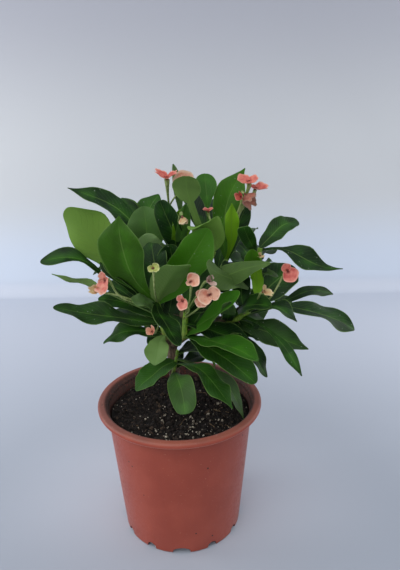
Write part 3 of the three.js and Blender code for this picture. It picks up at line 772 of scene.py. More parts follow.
def grow_leaf(base, shape):
    """Bends a copy of the flat blade along its midrib, and waves its edges."""
    start, tip = base, Vector(shape["tip"])
    towards_tip = math.atan2(tip.y - start.y, tip.x - start.x)
    azimuth = towards_tip if shape["face"] is None else math.radians(shape["face"])
    level = Vector((math.sin(azimuth), -math.cos(azimuth), 0))
    chord = (tip - start).normalized()
    up = level.cross(chord).normalized()
    middle = start.lerp(tip, 0.5) + up * 2 * shape["arch"] + level * 2 * shape["sway"]
    widest, blunt = shape["widest"], shape["blunt"]
    fullness = widest / (1 - widest)
    crinkle = leaf_luck.uniform(0, 10)
    spots = []
    for t, s, upper in blade_places:
        along = ((middle - start) * (1 - t) + (tip - middle) * t).normalized()
        normal = level.cross(along).normalized()
        normal.rotate(Quaternion(along, math.radians(shape["roll"] + shape["twist"] * t)))
        sideways = normal.cross(along)
        full = ((t / widest) ** fullness * max(0, 1 - t) / (1 - widest)) ** blunt
        full **= 1 + (shape["neck"] - 1) * max(0, 1 - t / widest)
        full *= 1 - shape["point"] * max(0, (t - 0.8) / 0.2) ** 1.3
        if shape["disc"]:
            full = max(DISC_FOOT * t, 1 - (2 * (1 - t) / shape["disc"] - 1) ** 2) ** 0.5
        half = PETIOLE + (LEAF_TIP - PETIOLE) * t + (shape["width"] / 2 - LEAF_TIP) * full
        edge = abs(s)
        lead = 0 if s < 0 else 0.3
        half *= 1 + 0.05 * full * math.sin(math.tau * (2.3 * t + crinkle + 2 * lead))
        turns = shape["waves"] * t + shape["phase"] + lead
        wave = UNDULATION * shape["wave"] * math.sin(math.tau * turns)
        wave += 0.5 * math.sin(math.tau * (3.4 * t + 3 * crinkle + lead))
        lift = shape["fold"] * half * edge**1.3 + wave * edge**2
        lift += 0.22 * edge**3 * math.sin(math.tau * (6.3 * t + crinkle + lead))
        rib = RIB * (1 - t) ** 1.5 * math.exp(-((s * half / RIB) ** 2))
        groove = GROOVE * math.exp(-((s * half / GROOVE_WIDTH) ** 2)) * min(1, 6 * t)
        thick = BLADE * (0.5 - 0.22 * edge**4)
        skin = thick - groove if upper else -thick - rib
        ease = 0.5 * math.sin(math.tau * (1.3 * t + crinkle)) * t * (1 - t) * 4
        ease -= shape["lean"] * math.sin(math.tau * t)
        aside = level * 0.8 * math.sin(math.tau * (0.9 * t + 2 * crinkle)) * t * (1 - t) * 4
        rib_spot = start * (1 - t) ** 2 + middle * 2 * t * (1 - t) + tip * t * t
        rib_spot += up * ease + aside
        spots.append((rib_spot + sideways * (s * half) + normal * (lift * full + skin)) * MM)
    copy = put_out("leaf", blade.data.copy())
    copy.data.vertices.foreach_set("co", [c for spot in spots for c in spot])
    for tint in ("light", "lime", "pale"):
        set_values(copy.data, tint, [shape[tint]] * len(spots))
    set_values(copy.data, "luck", [leaf_luck.random()] * len(spots))
    return copy


def waxy_leaf():
    """A fleshy leaf: waxed dark green above with a pale midrib, matt grey-green below."""
    look = Finish("waxy leaf")
    along, upper, luck = look.attribute("along"), look.attribute("upper"), look.attribute("luck")
    light, lime, pale = look.attribute("light"), look.attribute("lime"), look.attribute("pale")
    edge = abs(look.attribute("across"))
    blotch = look.mottle(12, detail=4)
    fine = look.mottle(1.2, detail=3)
    ribs = (along * 17 - edge * 3.5).zigzag()
    vein = (1 - ribs.above(0.03, 0.2)) * (1 - edge.above(0.75, 0.95)) * edge.above(0.03, 0.12)
    rib_width = 0.075 - 0.055 * along
    midrib = 1 - (edge / rib_width).above(0.55, 1.0)
    # Pale edge: partly the leaf's own thin pale rim colour, partly a painted highlight along it.
    margin_and_highlight = edge.above(0.93, 0.985)
    above = look.mix(blotch.above(0.32, 0.68), srgb(10, 30, 10), srgb(29, 62, 18))
    above = look.mix(luck * 0.5, above, srgb(20, 54, 18))
    # Painted highlight: lighter green in blotches along the middle of each blade.
    midrib_highlight = (1 - edge) ** 2 * blotch.above(0.42, 0.62) * 0.5
    above = look.mix(light + midrib_highlight, above, srgb(60, 116, 26))
    below = look.mix(blotch.above(0.3, 0.7), srgb(50, 80, 32), srgb(68, 98, 38))
    below = look.mix(light, below, srgb(122, 158, 66))
    body = look.mix(upper, below, above)
    body = look.mix(lime, body, srgb(126, 176, 34))
    # Painted sheen: the pale share greys a leaf as if it reflected the pale surroundings.
    body = look.mix(pale, body, srgb(150, 174, 124))
    body = look.mix(vein * 0.1, body, srgb(104, 140, 66))
    body = look.mix(midrib * 0.45, body, srgb(116, 154, 72))
    body = look.mix(margin_and_highlight * 0.55, body, srgb(116, 150, 76))
    speck = look.mottle(1.3, detail=0).above(0.81, 0.84) * upper * luck.above(0.45, 0.8)
    body = look.mix(speck * 0.5, body, srgb(196, 206, 184))
    rough = 0.4 + 0.16 * (1 - upper) + 0.14 * fine
    swell = fine * 0.25 - vein * 0.4 - midrib * 0.6 * upper + blotch
    skin = {"IOR": 1.4, "Specular IOR Level": 0.28}
    shader = look.surface(skin, {"Base Color": body, "Roughness": rough}, swell, 0.3)
    glow = look.node("BsdfTranslucent", {}, {"Color": srgb(130, 180, 36)})
    lit = look.node("MixShader", {}, {0: 0.1 + 0.22 * light, 1: shader, 2: glow})
    return look.finish(lit)


def green_shoot():
    """Green young stem, browner at its foot, with pale flower stalks."""
    look = Finish("green shoot")
    stalk, foot = look.attribute("stalk"), look.attribute("foot")
    streak = look.mottle(1.5, stretch=(1, 1, 3))
    body = look.mix(streak.above(0.35, 0.65), srgb(88, 126, 34), srgb(132, 164, 56))
    body = look.mix(foot * 0.8, body, srgb(106, 92, 54))
    pale = look.mix(streak.above(0.35, 0.65), srgb(116, 138, 68), srgb(156, 168, 108))
    body = look.mix(stalk, body, pale)
    shader = look.surface({"Roughness": 0.5}, {"Base Color": body}, streak, 0.15)
    return look.finish(shader)


leaf_finish = waxy_leaf()
shoot_finish = green_shoot()
CUP_HEIGHT = 2.4  # of the cup in the middle of a bloom
PLAIN_BLOOM = {
    "facing": (0, -0.9, 0.4),
    "turn": 0,  # degrees round the way that it faces
    "size": 5.6,  # of a bract, from the middle of the bloom to its rim
    "open": 0.8,  # 0 for bracts that stand up, 1 for bracts that lie flat
    "cupped": 0.25,
    "tips": 0,  # share of the size that two little points of the rim reach further
    "second": 1,  # size of the second bract beside the first
    "funnel": 0.45,  # how far the stalk widens under its cup
    "skin": None,  # colour of the bracts, where it isn't that of the bloom's slot
}
all_blooms = []


def bloom(name, colour, at, **shape):
    """One bloom: its colour, its middle, the way it looks, and how wide and open it is."""
    made = {**PLAIN_BLOOM, "name": name, "colour": colour, "at": at, **shape}
    all_blooms.append(made)
    return made


def stalk_end(made):
    """Where a stalk meets the foot of its bloom's cup."""
    return Vector(made["at"]) - Vector(made["facing"]).normalized() * CUP_HEIGHT / 2


def funnel(flare):
    """Radius of a flower stalk, which widens by flare where it meets its cup."""
    return lambda share: STALK_RADIUS + flare * share**6


def grow(name, path, leaves, sprays=(), thickness=1):
    """Grows one shoot from the end of its branch, with its leaves, spines and flower stalks."""
    end, before = Vector(BRANCHES[name][-1]), Vector(BRANCHES[name][-2])
    heading = (end - before).normalized()
    radii = [radius * thickness for radius in SHOOT_RADII]
    whole = smooth_path([end + heading * JOINT_GAP, end + heading * STRAIGHT_FOOT, *path])
    whole[0] = end - heading * SHOOT_SINK
    blades = [grow_leaf(point_on(whole, shape["at"]), shape) for shape in leaves]
    foliage = join(f"leaves_{name}", blades)
    smooth(foliage, 60)
    dress(foliage, leaf_finish, "green_leaf", f"leafy_stem_{name}")
    green = [tube("shoot", whole, even_taper(*radii), 14, step=10)]
    heights = [v.co.z / MM for v in green[0].data.vertices]
    low, high = min(heights), max(heights)
    set_values(green[0].data, "foot", [max(0, 1 - 2.5 * (h - low) / (high - low)) for h in heights])
    set_values(green[0].data, "stalk", [0] * len(heights))
    for at, fork, blooms in sprays:
        foot = point_on(whole, at)
        for made in blooms:
            away = Vector(made["facing"]).normalized() * STALK_STRAIGHT
            route = smooth_path([foot, fork, stalk_end(made) - away, stalk_end(made)])
            stalk = tube("stalk", route, funnel(made["funnel"]), 8, step=8)
            count = len(stalk.data.vertices)
            set_values(stalk.data, "foot", [0] * count)
            set_values(stalk.data, "stalk", [1] * count)
            green.append(stalk)
    shoot = join(f"shoot_{name}", green)
    smooth(shoot, 50)
    dress(shoot, shoot_finish, "green_leaf", f"leafy_stem_{name}")
    grown = grow_thorns(whole, radii[1], 0.15, 0.85, count=4, turn=200, size=0.55)
    spines = join(f"spines_{name}", grown)
    smooth(spines, 40)
    dress(spines, thorn_finish, "brown_bark", f"leafy_stem_{name}")


grow("left", path=[(-11, -6, 178), (-14, -10, 197)], leaves=[
    leaf(1, (-36, -24, 264.5), 29, face=90, sway=-8, fold=0.45, wave=2.2, widest=0.7, blunt=0.6,
         point=0.9, light=0.35, lime=0.1),
    leaf(0.6, (-73, -12, 268.5), 33, face=-100, arch=3, sway=3.5, wave=2.6, waves=2.4, phase=0.1,
         widest=0.76, point=0.1, light=0.95, lime=0.15, pale=0.08),
    leaf(0.4, (-88, -20, 198), 20, arch=-1, roll=-20, wave=2.2, waves=2.2, widest=0.66, point=0.2,
         light=0.05, pale=0.03),
    leaf(0.8, (-95, -15, 231), 15, arch=6.8, roll=5, twist=-40, wave=2.2, waves=2, phase=0.45,
         widest=0.84, blunt=0.6, point=0.3, neck=4, lean=7.5),
    leaf(0.6, (-96, 15, 212), 8, arch=2, twist=90, wave=2, waves=3, widest=0.72, blunt=2, point=0.8,
         neck=2, light=0.4, pale=0.25),
    leaf(0.5, (-60, 5, 195), 16, arch=4, roll=-30, light=0.1),
    leaf(0.8, (-55, -2, 226), 16, arch=2, roll=-40),
    leaf(1, (3.5, -54, 182), 17, arch=3, sway=4, roll=-20),
    leaf(0, (-57, -4, 161.5), 14, arch=8.5, roll=-28, wave=2.6, waves=2, point=0.5, light=0.15),
    leaf(0.1, (-16, -30, 155.5), 17, face=-90, sway=1.5, blunt=0.8, point=0.2, light=1, lime=0.5,
         pale=0.5),
    leaf(0.95, (24, -20, 254), 26, face=90, arch=2, sway=2, wave=1.5, widest=0.62, light=1,
         lime=0.08),
    leaf(1, (-18, 10, 238), 20, face=90, arch=2),
    leaf(0.1, (-66, 36, 166), 18, arch=8),
    leaf(1, (11, -60, 240.5), 24, face=-80, arch=6, wave=0.8, widest=0.45, blunt=0.9, light=1,
         pale=0.35),
    leaf(0, (-23.5, -6, 162.5), 13, arch=1, roll=-20),
    leaf(0.4, (-57, 12, 206), 12, arch=3, roll=-30),
    leaf(0.3, (-44, 8, 196), 13, arch=3, roll=-30),
    leaf(0.9, (-30.5, -28, 206.5), 11, arch=0, roll=-50, widest=0.5, light=0.4, pale=0.35),
    leaf(0, (-4, 12, 197.5), 17, face=90, arch=2),
    leaf(0.6, (-21, 14, 199.5), 20, face=90, arch=2),
    leaf(0.9, (-49.5, -22, 232), 12, arch=1, roll=-45),
], sprays=[
    (0.8, (-39, -28, 209), [
        bloom("outer_left", "pink", (-47, -32, 222.5), facing=(-0.8, -1, 0.3), turn=260, size=9.6,
              tips=0.1, second=0.55, skin="rosy"),
        bloom("outer_left_low", "peach", (-52, -34, 215), facing=(-0.1, -1, 0.7), turn=180, size=5,
              cupped=0.5, tips=0.4, second=0.5, skin="cream"),
    ]),
    (1, (-13, -40, 218), [
        bloom("lime", "lime", (-12.5, -50, 235.5), facing=(0, -1, 0.3), turn=15, size=4.3,
              second=0.8),
    ]),
    (0.6, (-13, -30, 184), [
        bloom("inner_left", "peach", (-15, -45, 188.5), facing=(-0.3, -0.7, 0.5), size=5, open=0.5,
              cupped=0.6, second=0.8),
    ]),
])
grow("back_left", path=[(-18, 22, 208), (-25, 30, 232)], leaves=[
    leaf(1, (-79, 20, 277), 24, arch=8.5, roll=-42, twist=10, wave=2.4, widest=0.45, blunt=1.4,
         point=0.2, lean=-1),
    leaf(0.95, (-14, 50, 266), 19, face=90, arch=3, sway=-4, point=0.5, light=0.3),
    leaf(0.9, (-42, 45, 264), 18, face=90, arch=4, light=0.3),
    leaf(0.6, (-24, 22, 262), 28, face=90, arch=2, fold=0.45, light=0.6, pale=0.2),
    leaf(0.9, (-70, 62, 226), 18, arch=6),
    leaf(0.7, (-56, 88, 216), 20, arch=8),
    leaf(0.5, (-72, 56, 198), 18, arch=8),
    leaf(0.3, (-52, 74, 176), 18, arch=8),
    leaf(0.9, (-42.5, 38, 265.5), 12, arch=3, roll=-40),
])
grow("centre", path=[(-1, 17, 200), (2, 22, 220)], leaves=[
    leaf(0.9, (-10.5, 9, 268.5), 17, face=90, arch=2, sway=2.5, fold=0.35, widest=0.74, blunt=0.42),
    leaf(1, (5, 8, 262), 13, face=90, arch=1, light=0.7, lime=0.6),
    leaf(0.8, (-25, 10, 242), 21, face=90, arch=3, blunt=0.4, light=0.6, pale=0.5),
    leaf(0.3, (8, 2, 230), 18, face=90, arch=2),
    leaf(0.9, (-14, 78, 238), 18, arch=6),
    leaf(0.7, (14, 90, 212), 20, arch=8),
    leaf(0.5, (36, 78, 188), 18, arch=8),
    leaf(0.4, (-12, 78, 178), 18, arch=8),
    leaf(0.1, (-28, 58, 146), 18, arch=8),
    leaf(0.1, (24, 56, 144), 18, arch=8),
    leaf(1, (8.5, 4, 266.5), 9, face=90, arch=1, light=0.6, pale=0.1),
    leaf(1, (0, 8, 294.5), 7, face=90, arch=1, sway=4, widest=0.82, blunt=0.9, point=0.3, neck=3,
         light=0.5, pale=0.3),
    leaf(0.2, (-11, 22, 190), 16, arch=4),
    leaf(0.5, (-10, 26, 231), 15, face=90, arch=2),
    leaf(0.4, (-4, 2, 237.5), 22, face=90, arch=2),
    leaf(0.2, (6.5, 20, 187), 18, face=90, arch=3),
], sprays=[
    (1, (-4, 15, 262), [
        bloom("top_left", "pink", (-4, -5, 286.5), facing=(0, -0.3, 1), turn=175, size=7, open=0.66,
              cupped=0.15, tips=0.35, funnel=1.3),
        bloom("top_left_right", "peach", (8.5, -4, 280.5), facing=(-0.1, -1, 0.3), turn=98,
              size=10.5, open=0.95, cupped=0.1, second=0.55),
    ]),
    (1, (2, 12, 248), [
        bloom("drying", "cream", (6, -5, 259), facing=(0.2, -0.3, -0.9), size=4.4, open=0.3),
    ]),
])
grow("top", path=[(22, 2, 217), (28, 0, 232)], leaves=[
    leaf(1, (9.5, -15, 289), 19.5, face=-90, arch=3, sway=5, wave=0.3, widest=0.84, blunt=0.6,
         point=0, disc=0.335, light=0.4, pale=0.12),
    leaf(0.95, (22.5, 26, 285), 16, face=90, arch=2, sway=-1, widest=0.86, blunt=0.45, neck=8,
         light=0.6),
    leaf(0.9, (5, 58, 270), 16, arch=6),
    leaf(0.8, (24, 64, 260), 17, arch=6),
    leaf(0.3, (42, -4, 205), 20, arch=3, roll=50),
    leaf(1, (13, -22, 254), 22, arch=9, roll=25, widest=0.55, blunt=0.5, light=1, lime=0.75,
         pale=0.3),
    leaf(0, (64.5, -42, 235), 17, arch=2, roll=-120, widest=0.32, blunt=0.8, light=0.05, pale=0.1),
], sprays=[
    (1, (27, 2, 250), [
        bloom("top_middle", "peach", (24.5, 5, 261), facing=(-0.1, -0.2, 0.9), size=3.5,
              skin="pink"),
    ]),
])
grow("top_right", path=[(32, 12, 210), (38, 12, 222)], leaves=[
    leaf(1, (52.5, 25, 288.5), 21.5, face=90, arch=2, sway=-8.5, blunt=0.7, point=0.9, light=0.6,
         lime=0.08),
    leaf(1, (41, -4, 268), 10, face=90, arch=1, sway=2, blunt=0.8, point=0.8, neck=1.5, light=1,
         lime=0.9),
    leaf(0.8, (55, 35, 262), 14, face=90, arch=1),
    leaf(0.8, (64, 72, 232), 18, arch=6),
    leaf(0.5, (44, 92, 230), 20, arch=8),
], sprays=[
    (1, (47.5, 11, 257), [
        bloom("top_right", "peach", (53.5, 2, 282), facing=(-0.1, -0.5, 1), turn=180, size=8.6,
              cupped=0.2, second=0.8, funnel=1.2, skin="salmon"),
        bloom("top_right_outer", "pink", (58.5, 6, 276.5), facing=(0.2, -0.4, 1), turn=-8, size=7.6,
              open=0.85, tips=0.2, second=0.5, funnel=0.8),
        bloom("top_right_low", "pink", (51, 2, 273), facing=(0.6, -0.5, -0.6), size=8, open=0.45,
              cupped=0.3, tips=0.5, skin="brown"),
    ]),
    (1, (44.5, 9, 254), [
        bloom("top_right_bud", "pink", (48, 0, 271.5), facing=(-0.4, -0.8, 0.3), size=4.4, open=0.4,
              cupped=1.1),
    ]),
])
grow("right", path=[(61, 8, 212), (63, 8, 232)], leaves=[
    leaf(0.75, (48, -25, 256), 11, face=90, arch=2, widest=0.85, blunt=0.36, point=0, neck=1.6,
         light=0.15),
    leaf(1, (95, 35, 246), 15, arch=4.4, roll=32, wave=0.8, widest=0.6, blunt=0.4, point=0,
         neck=1.2, light=0.1),
    leaf(0.95, (125, 5, 215.5), 18, arch=2, roll=38, wave=2, widest=0.51, blunt=2.1, point=0,
         neck=6, lean=-3.5),
    leaf(0.15, (22.5, -45, 234), 19, arch=0, roll=125, wave=1.6, widest=0.78, blunt=0.45, neck=1.8,
         light=0.1, pale=0.1),
    leaf(0.9, (57.5, -22, 206), 8.5, face=-80, arch=-2, light=1, lime=0.75),
    leaf(0.8, (80, 78, 207), 18, arch=6),
    leaf(0.5, (64, 88, 198), 18, arch=8),
    leaf(0.2, (98, 52, 190), 15, arch=8),
    leaf(0.1, (92, 58, 162), 18, arch=8),
    leaf(0.05, (68, 58, 150), 18, arch=8),
    leaf(0.6, (34, -10, 220), 18, arch=3),
    leaf(0.3, (55, -12, 236.5), 12, face=90, arch=1, light=0.9, lime=0.15),
    leaf(0.5, (40.5, -2, 226.5), 17, arch=2, roll=-20),
    leaf(0.2, (33, 12, 172), 16, arch=4),
    leaf(0.1, (47, 14, 184), 14, face=90, arch=3),
    leaf(0.6, (47, 30, 230), 15, face=90, arch=3),
    leaf(0.5, (72, -22, 219), 5, arch=1, roll=30, pale=0.15),
    leaf(0.6, (68, -16, 228.5), 6, arch=1, roll=20, pale=0.1),
], sprays=[
    (0.8, (61, -1, 224), [
        bloom("cream", "cream", (60.5, -9, 230.5), facing=(0.3, -0.6, 0.6), turn=-60, size=4,
              open=0.5, second=0.6),
    ]),
])
grow("right_low", path=[(45, -14, 185), (53, -18, 192)], leaves=[
    leaf(0.8, (91, 15, 214), 25, arch=3, roll=40),
    leaf(0.7, (124, 25, 188), 9.5, arch=4.6, roll=44, wave=1.4, waves=2, widest=0.74, blunt=0.9,
         point=0.3, neck=4, lean=3.5),
    leaf(0.6, (131.5, -15, 174.5), 26, arch=11.5, roll=15, wave=2.6, waves=2, widest=0.78,
         point=0.4, neck=2.2, lean=-0.8),
    leaf(1, (82, -50, 196.5), 16, arch=7.5, blunt=0.8, point=0.8),
    leaf(0, (96, -25, 164), 22, arch=1.5, roll=25, wave=2, widest=0.6, blunt=0.9, point=0.6,
         light=0.08, pale=0.05),
    leaf(0.6, (85, -60, 161), 8, arch=9, roll=30, twist=20, widest=0.8, blunt=0.8, point=0.8,
         neck=3, light=0.15),
    leaf(0.2, (65, -35, 147), 14, arch=0, point=0.5),
    leaf(0.05, (37.5, -48, 211), 10, face=75, arch=1, blunt=0.8, point=0.8, light=0.2, pale=0.2),
    leaf(0.8, (46.5, 8, 213.5), 14, face=90, arch=1),
    leaf(0, (38.5, -36, 205), 10, face=90, arch=3),
    leaf(0, (44.5, -38, 183), 9, face=90, arch=3, widest=0.5),
    leaf(0.2, (65, -44, 205), 18, arch=6, roll=30, widest=0.55, light=0.05),
    leaf(0.1, (64, -20, 171), 16, arch=0, roll=20),
    leaf(0.3, (67, 0, 175.5), 16, arch=2, roll=30),
], sprays=[
    (1, (66, -25, 203), [
        bloom("right", "pink", (77.5, -30, 226), facing=(0.1, -1, 0.3), turn=-54, size=8.2,
              open=0.9, cupped=0.3, second=0.6),
    ]),
    (1, (58, -30, 206), [
        bloom("right_fading", "cream", (60.5, -40, 214.5), facing=(0.5, -0.5, 0.5), turn=-20,
              size=5, open=0.6, cupped=0.4, tips=0.35, second=0.8, skin="cream"),
    ]),
])
grow("front", path=[(6, -12, 178), (7, -14, 190)], leaves=[
    leaf(1, (20, -5, 229), 20, face=90, arch=2, light=0.1),
    leaf(0, (44, -45, 215), 26, arch=-1, roll=35, light=0.9),
    leaf(0.6, (50, -36, 177), 22, arch=0, roll=10),
    leaf(0, (53, -80, 183), 23, arch=4.5, point=0.5, light=0.6),
    leaf(0.2, (54, -60, 156), 27, arch=3, blunt=0.5, point=0.3, light=0.3),
    leaf(0, (-12.5, 12, 191), 18, face=90, arch=2),
    leaf(0.5, (43, 10, 171.5), 22, arch=3),
    leaf(0.3, (28, -10, 142), 16, arch=3, light=0.25),
    leaf(0, (27.5, -2, 198), 17, face=90, arch=2),
    leaf(0.9, (34, 0, 184.5), 18, face=80, arch=3),
], sprays=[
    (1, (15, -32, 209), [
        bloom("middle_pale", "peach", (23, -44, 224), facing=(0.6, -0.6, 0.4), turn=-60, size=5.4,
              open=0.5, second=0.8, skin="pale"),
    ]),
    (1, (11, -45, 213), [
        bloom("front_upper", "peach", (11.5, -60, 229), facing=(-0.15, -1, 0.3), turn=28, size=6.4,
              open=0.9, cupped=0.3, second=0.4),
    ]),
    (0.9, (10, -48, 206), [
        bloom("front_left", "peach", (6.5, -62, 217.5), facing=(-0.5, -1, 0.2), turn=280, size=6,
              open=0.85, cupped=0.3, second=0.6, skin="rosy"),
    ]),
    (0.8, (17, -45, 206), [
        bloom("front_middle", "peach", (19, -63, 219.5), facing=(-0.2, -1, 0.1), turn=250, open=0.9,
              cupped=0.3),
        bloom("front_right", "peach", (23.5, -66, 222.5), facing=(0.05, -1, 0.25), turn=202,
              size=7.1, open=0.95, cupped=0.2, second=0.95),
    ]),
])
grow("low", path=[(-2, -12, 147), (0, -15, 160)], thickness=0.55, leaves=[
    leaf(0.5, (38, -70, 143), 16, arch=10, wave=1.8, waves=2.2, blunt=0.8, point=0.8, light=0.25),
    leaf(0.7, (49.5, -28, 107), 12, face=-45, arch=16, widest=0.6, blunt=1.2, point=0.9, light=0.1,
         pale=0.15),
    leaf(0.9, (30, 5, 141), 18, arch=6),
    leaf(0.1, (6, -60, 133), 19, arch=12, wave=1.8, widest=0.75, blunt=0.4, point=0, neck=3,
         light=0.3, pale=0.12),
    leaf(0.6, (-31, -30, 135), 26, arch=2.8, roll=2, wave=0.3, widest=0.52, blunt=0.55, point=0.6,
         light=0.4),
    leaf(0.3, (27, 22, 136), 16, arch=4),
    leaf(0.3, (-1, 15, 145), 12, arch=3),
    leaf(0.8, (24, 18, 149), 14, arch=3),
])
bpy.data.objects.remove(blade)
bpy.data.objects.remove(thorn)


# ------------------------------------------------------------------ blooms
# Each bloom is a tiny flower cup between two kidney-shaped bracts, thin as paper and coloured from
# pink and peach to a faded cream. The cup is maroon and rimmed with five glands, yellowish on the
# plant, which here take the cup's maroon.
BRACT_ROWS = 9
BRACT_TURNS = 26
BRACT_SPREAD = 165  # degrees to either side that a bract's rim reaches round its middle
BRACT_THICKNESS = 0.32
GLANDS = 5
GLAND_RADIUS = 0.3
GLAND_RING = 0.66  # radius of the ring that the glands stand in
BRACT_COLOURS = {
    # body, blush, foot and rim
    "peach": ((228, 176, 148), (212, 132, 106), (140, 54, 42), (238, 208, 180)),
    "pink": ((220, 124, 108), (200, 90, 82), (136, 42, 42), (234, 168, 148)),
    "cream": ((206, 182, 132), (196, 148, 104), (140, 92, 58), (226, 208, 168)),
    "rosy": ((222, 150, 130), (208, 116, 104), (120, 34, 34), (232, 186, 162)),
    "salmon": ((224, 134, 114), (208, 106, 96), (140, 48, 44), (232, 162, 140)),
    "pale": ((212, 184, 172), (206, 160, 146), (160, 96, 84), (226, 206, 192)),
    "brown": ((186, 120, 98), (164, 96, 78), (120, 62, 50), (150, 122, 102)),
    "lime": ((190, 198, 110), (170, 176, 88), (96, 90, 36), (218, 220, 156)),
}


def model_bract():
    """A flat strip that becomes a bract: x runs from its waist to its rim, y round the bloom."""
    strip = flat_slab(BRACT_ROWS, BRACT_TURNS)
    places = [((v.co.x + 1) / 2, v.co.y, v.co.z) for v in strip.data.vertices]
    set_values(strip.data, "reach", [u for u, _, _ in places])
    set_values(strip.data, "round", [s for _, s, _ in places])
    return strip, places


def model_cup():
    """The flower cup: an urn spun about its middle, with five glands on its rim."""
    outside = [(0, -CUP_HEIGHT / 2), (0.5, -1.15), (0.8, -0.5), (0.85, 0.2), (0.7, 0.7)]
    inside = [(0.42, 0.75), (0.3, 0.3), (0, 0.2)]
    parts = [spin_outline("cup", outside + inside, steps=14)]
    for i in range(GLANDS):
        angle = math.tau * i / GLANDS
        spot = (GLAND_RING * math.cos(angle) * MM, GLAND_RING * math.sin(angle) * MM, 0.75 * MM)
        bpy.ops.mesh.primitive_uv_sphere_add(
            segments=8, ring_count=5, radius=GLAND_RADIUS * MM, location=spot
        )
        apply_transform()
        parts.append(bpy.context.object)
    return join("cup", parts)


bract_strip, bract_places = model_bract()
cup_blank = model_cup()
bloom_luck = random.Random(77)


def place_bloom(made):
    """Turns a bloom modelled about Z so that it looks the way that it faces, at its place."""
    aim = Vector((0, 0, 1)).rotation_difference(Vector(made["facing"]).normalized())
    turn = Matrix.Rotation(math.radians(made["turn"]), 4, "Z")
    return Matrix.Translation(Vector(made["at"]) * MM) @ aim.to_matrix().to_4x4() @ turn


def grow_bract(made, half_turn):
    """Bends a copy of the strip into one kidney-shaped bract, cupped and crinkled at its rim."""
    size = made["size"] * bloom_luck.uniform(0.94, 1.06) * (made["second"] if half_turn else 1)
    tilt = (1 - made["open"]) * math.pi / 2
    phase, other_phase = bloom_luck.uniform(0, 6), bloom_luck.uniform(0, 6)
    cupped = made["cupped"] * bloom_luck.uniform(0.7, 1.3)
    spots = []
    for reach, around, upper in bract_places:
        angle = math.radians(BRACT_SPREAD * around)
        lobe = 0.74 - 0.3 * ((1 - math.cos(angle)) / 2) ** 3 + 0.03 * math.sin(5 * angle + phase)
        lobe += made["tips"] * sum(math.exp(-(((angle - at) / 0.16) ** 2)) for at in (-0.32, 0.32))
        out = size * (0.06 + (0.24 + lobe * math.cos(angle)) * reach)
        side = size * lobe * math.sin(angle) * reach
        sideness = abs(side) / size
        rise = abs(out) * math.sin(tilt) + size * cupped * (reach**2.5 * 0.5 + sideness**2 * 1.2)
        crinkle = size * reach**3 * 0.045 * math.sin(5 * angle + other_phase)
        crinkle += size * reach**2 * 0.02 * math.sin(11 * angle + phase)
        rise += crinkle + 0.2 + (upper - 0.5) * BRACT_THICKNESS * (1 - 0.4 * reach)
        spots.append(Vector((out * math.cos(tilt) + 0.2, side, rise)) * MM)
    turned = place_bloom(made) @ Matrix.Rotation(math.pi * half_turn, 4, "Z")
    copy = put_out("bract", bract_strip.data.copy())
    copy.data.vertices.foreach_set("co", [c for spot in spots for c in turned @ spot])
    copy.data.update()
    return copy


def bract_skin(colour):
    """Papery bract: reddish at its waist, blushed in soft patches, paler along its rim."""
    body, blush, foot, rim = [srgb(*tint) for tint in BRACT_COLOURS[colour]]
    look = Finish(f"{colour} bract")
    reach, around = look.attribute("reach"), look.attribute("round")
    patch = look.mottle(3.2, detail=3)
    skin = look.mix(patch.above(0.42, 0.62), body, blush)
    ribs = (around * 9).zigzag()
    skin = look.mix((1 - ribs.above(0.05, 0.35)) * 0.15, skin, blush)
    skin = look.mix(reach.above(0.8, 0.95) * 0.85, skin, rim)
    skin = look.mix(1 - reach.above(0.06, 0.3), skin, foot)
    crease = ribs * 0.5 + patch
    shader = look.surface({}, {"Base Color": skin, "Roughness": 0.5 + 0.1 * patch}, crease, 0.12)
    glow = look.node("BsdfTranslucent", {}, {"Color": body})
    return look.finish(look.node("MixShader", {}, {0: 0.22, 1: shader, 2: glow}))


def cup_skin():
    """Maroon cup, mottled browner, with the glands at its rim in the same finish."""
    look = Finish("flower cup")
    tone = look.mottle(0.7)
    body = look.mix(tone.above(0.35, 0.6), srgb(84, 28, 24), srgb(128, 58, 38))
    shader = look.surface({"Roughness": 0.4}, {"Base Color": body}, tone, 0.1)
    return look.finish(shader)


bract_finishes = {colour: bract_skin(colour) for colour in BRACT_COLOURS}
cup_finish = cup_skin()
for made in all_blooms:
    bracts = join(f"bracts_{made['name']}", [grow_bract(made, 0), grow_bract(made, 1)])
    smooth(bracts, 60)
    skin = bract_finishes[made["skin"] or made["colour"]]
    dress(bracts, skin, f"{made['colour']}_bract", f"bloom_{made['name']}")
    cup = put_out(f"cup_{made['name']}", cup_blank.data.copy())
    cup.data.transform(place_bloom(made))
    smooth(cup, 50)
    dress(cup, cup_finish, f"{made['colour']}_bract", f"bloom_{made['name']}")
bpy.data.objects.remove(bract_strip)
bpy.data.objects.remove(cup_blank)


# ------------------------------------------------------------------ studio
# A pale sweep of paper with light and shade painted on it, soft light from overhead and from the
# front left, and the camera a little above the plant, looking down at it.
SWEEP_WIDTH = 12000
SWEEP_FRONT = -2500
SWEEP_BACK = 560
SWEEP_BEND = 24
SWEEP_TOP = 2600

profile = [
    (SWEEP_FRONT, 0),
    *arc((SWEEP_BACK - SWEEP_BEND, SWEEP_BEND), SWEEP_BEND, 270, 360, 14),
    (SWEEP_BACK, SWEEP_TOP),
]
sweep = draw_line("sweep", [(-SWEEP_WIDTH / 2, y, z) for y, z in profile])
bpy.ops.mesh.extrude_region_move(TRANSFORM_OT_translate={"value": (SWEEP_WIDTH * MM, 0, 0)})
bpy.ops.object.mode_set(mode="OBJECT")
smooth(sweep, 60)


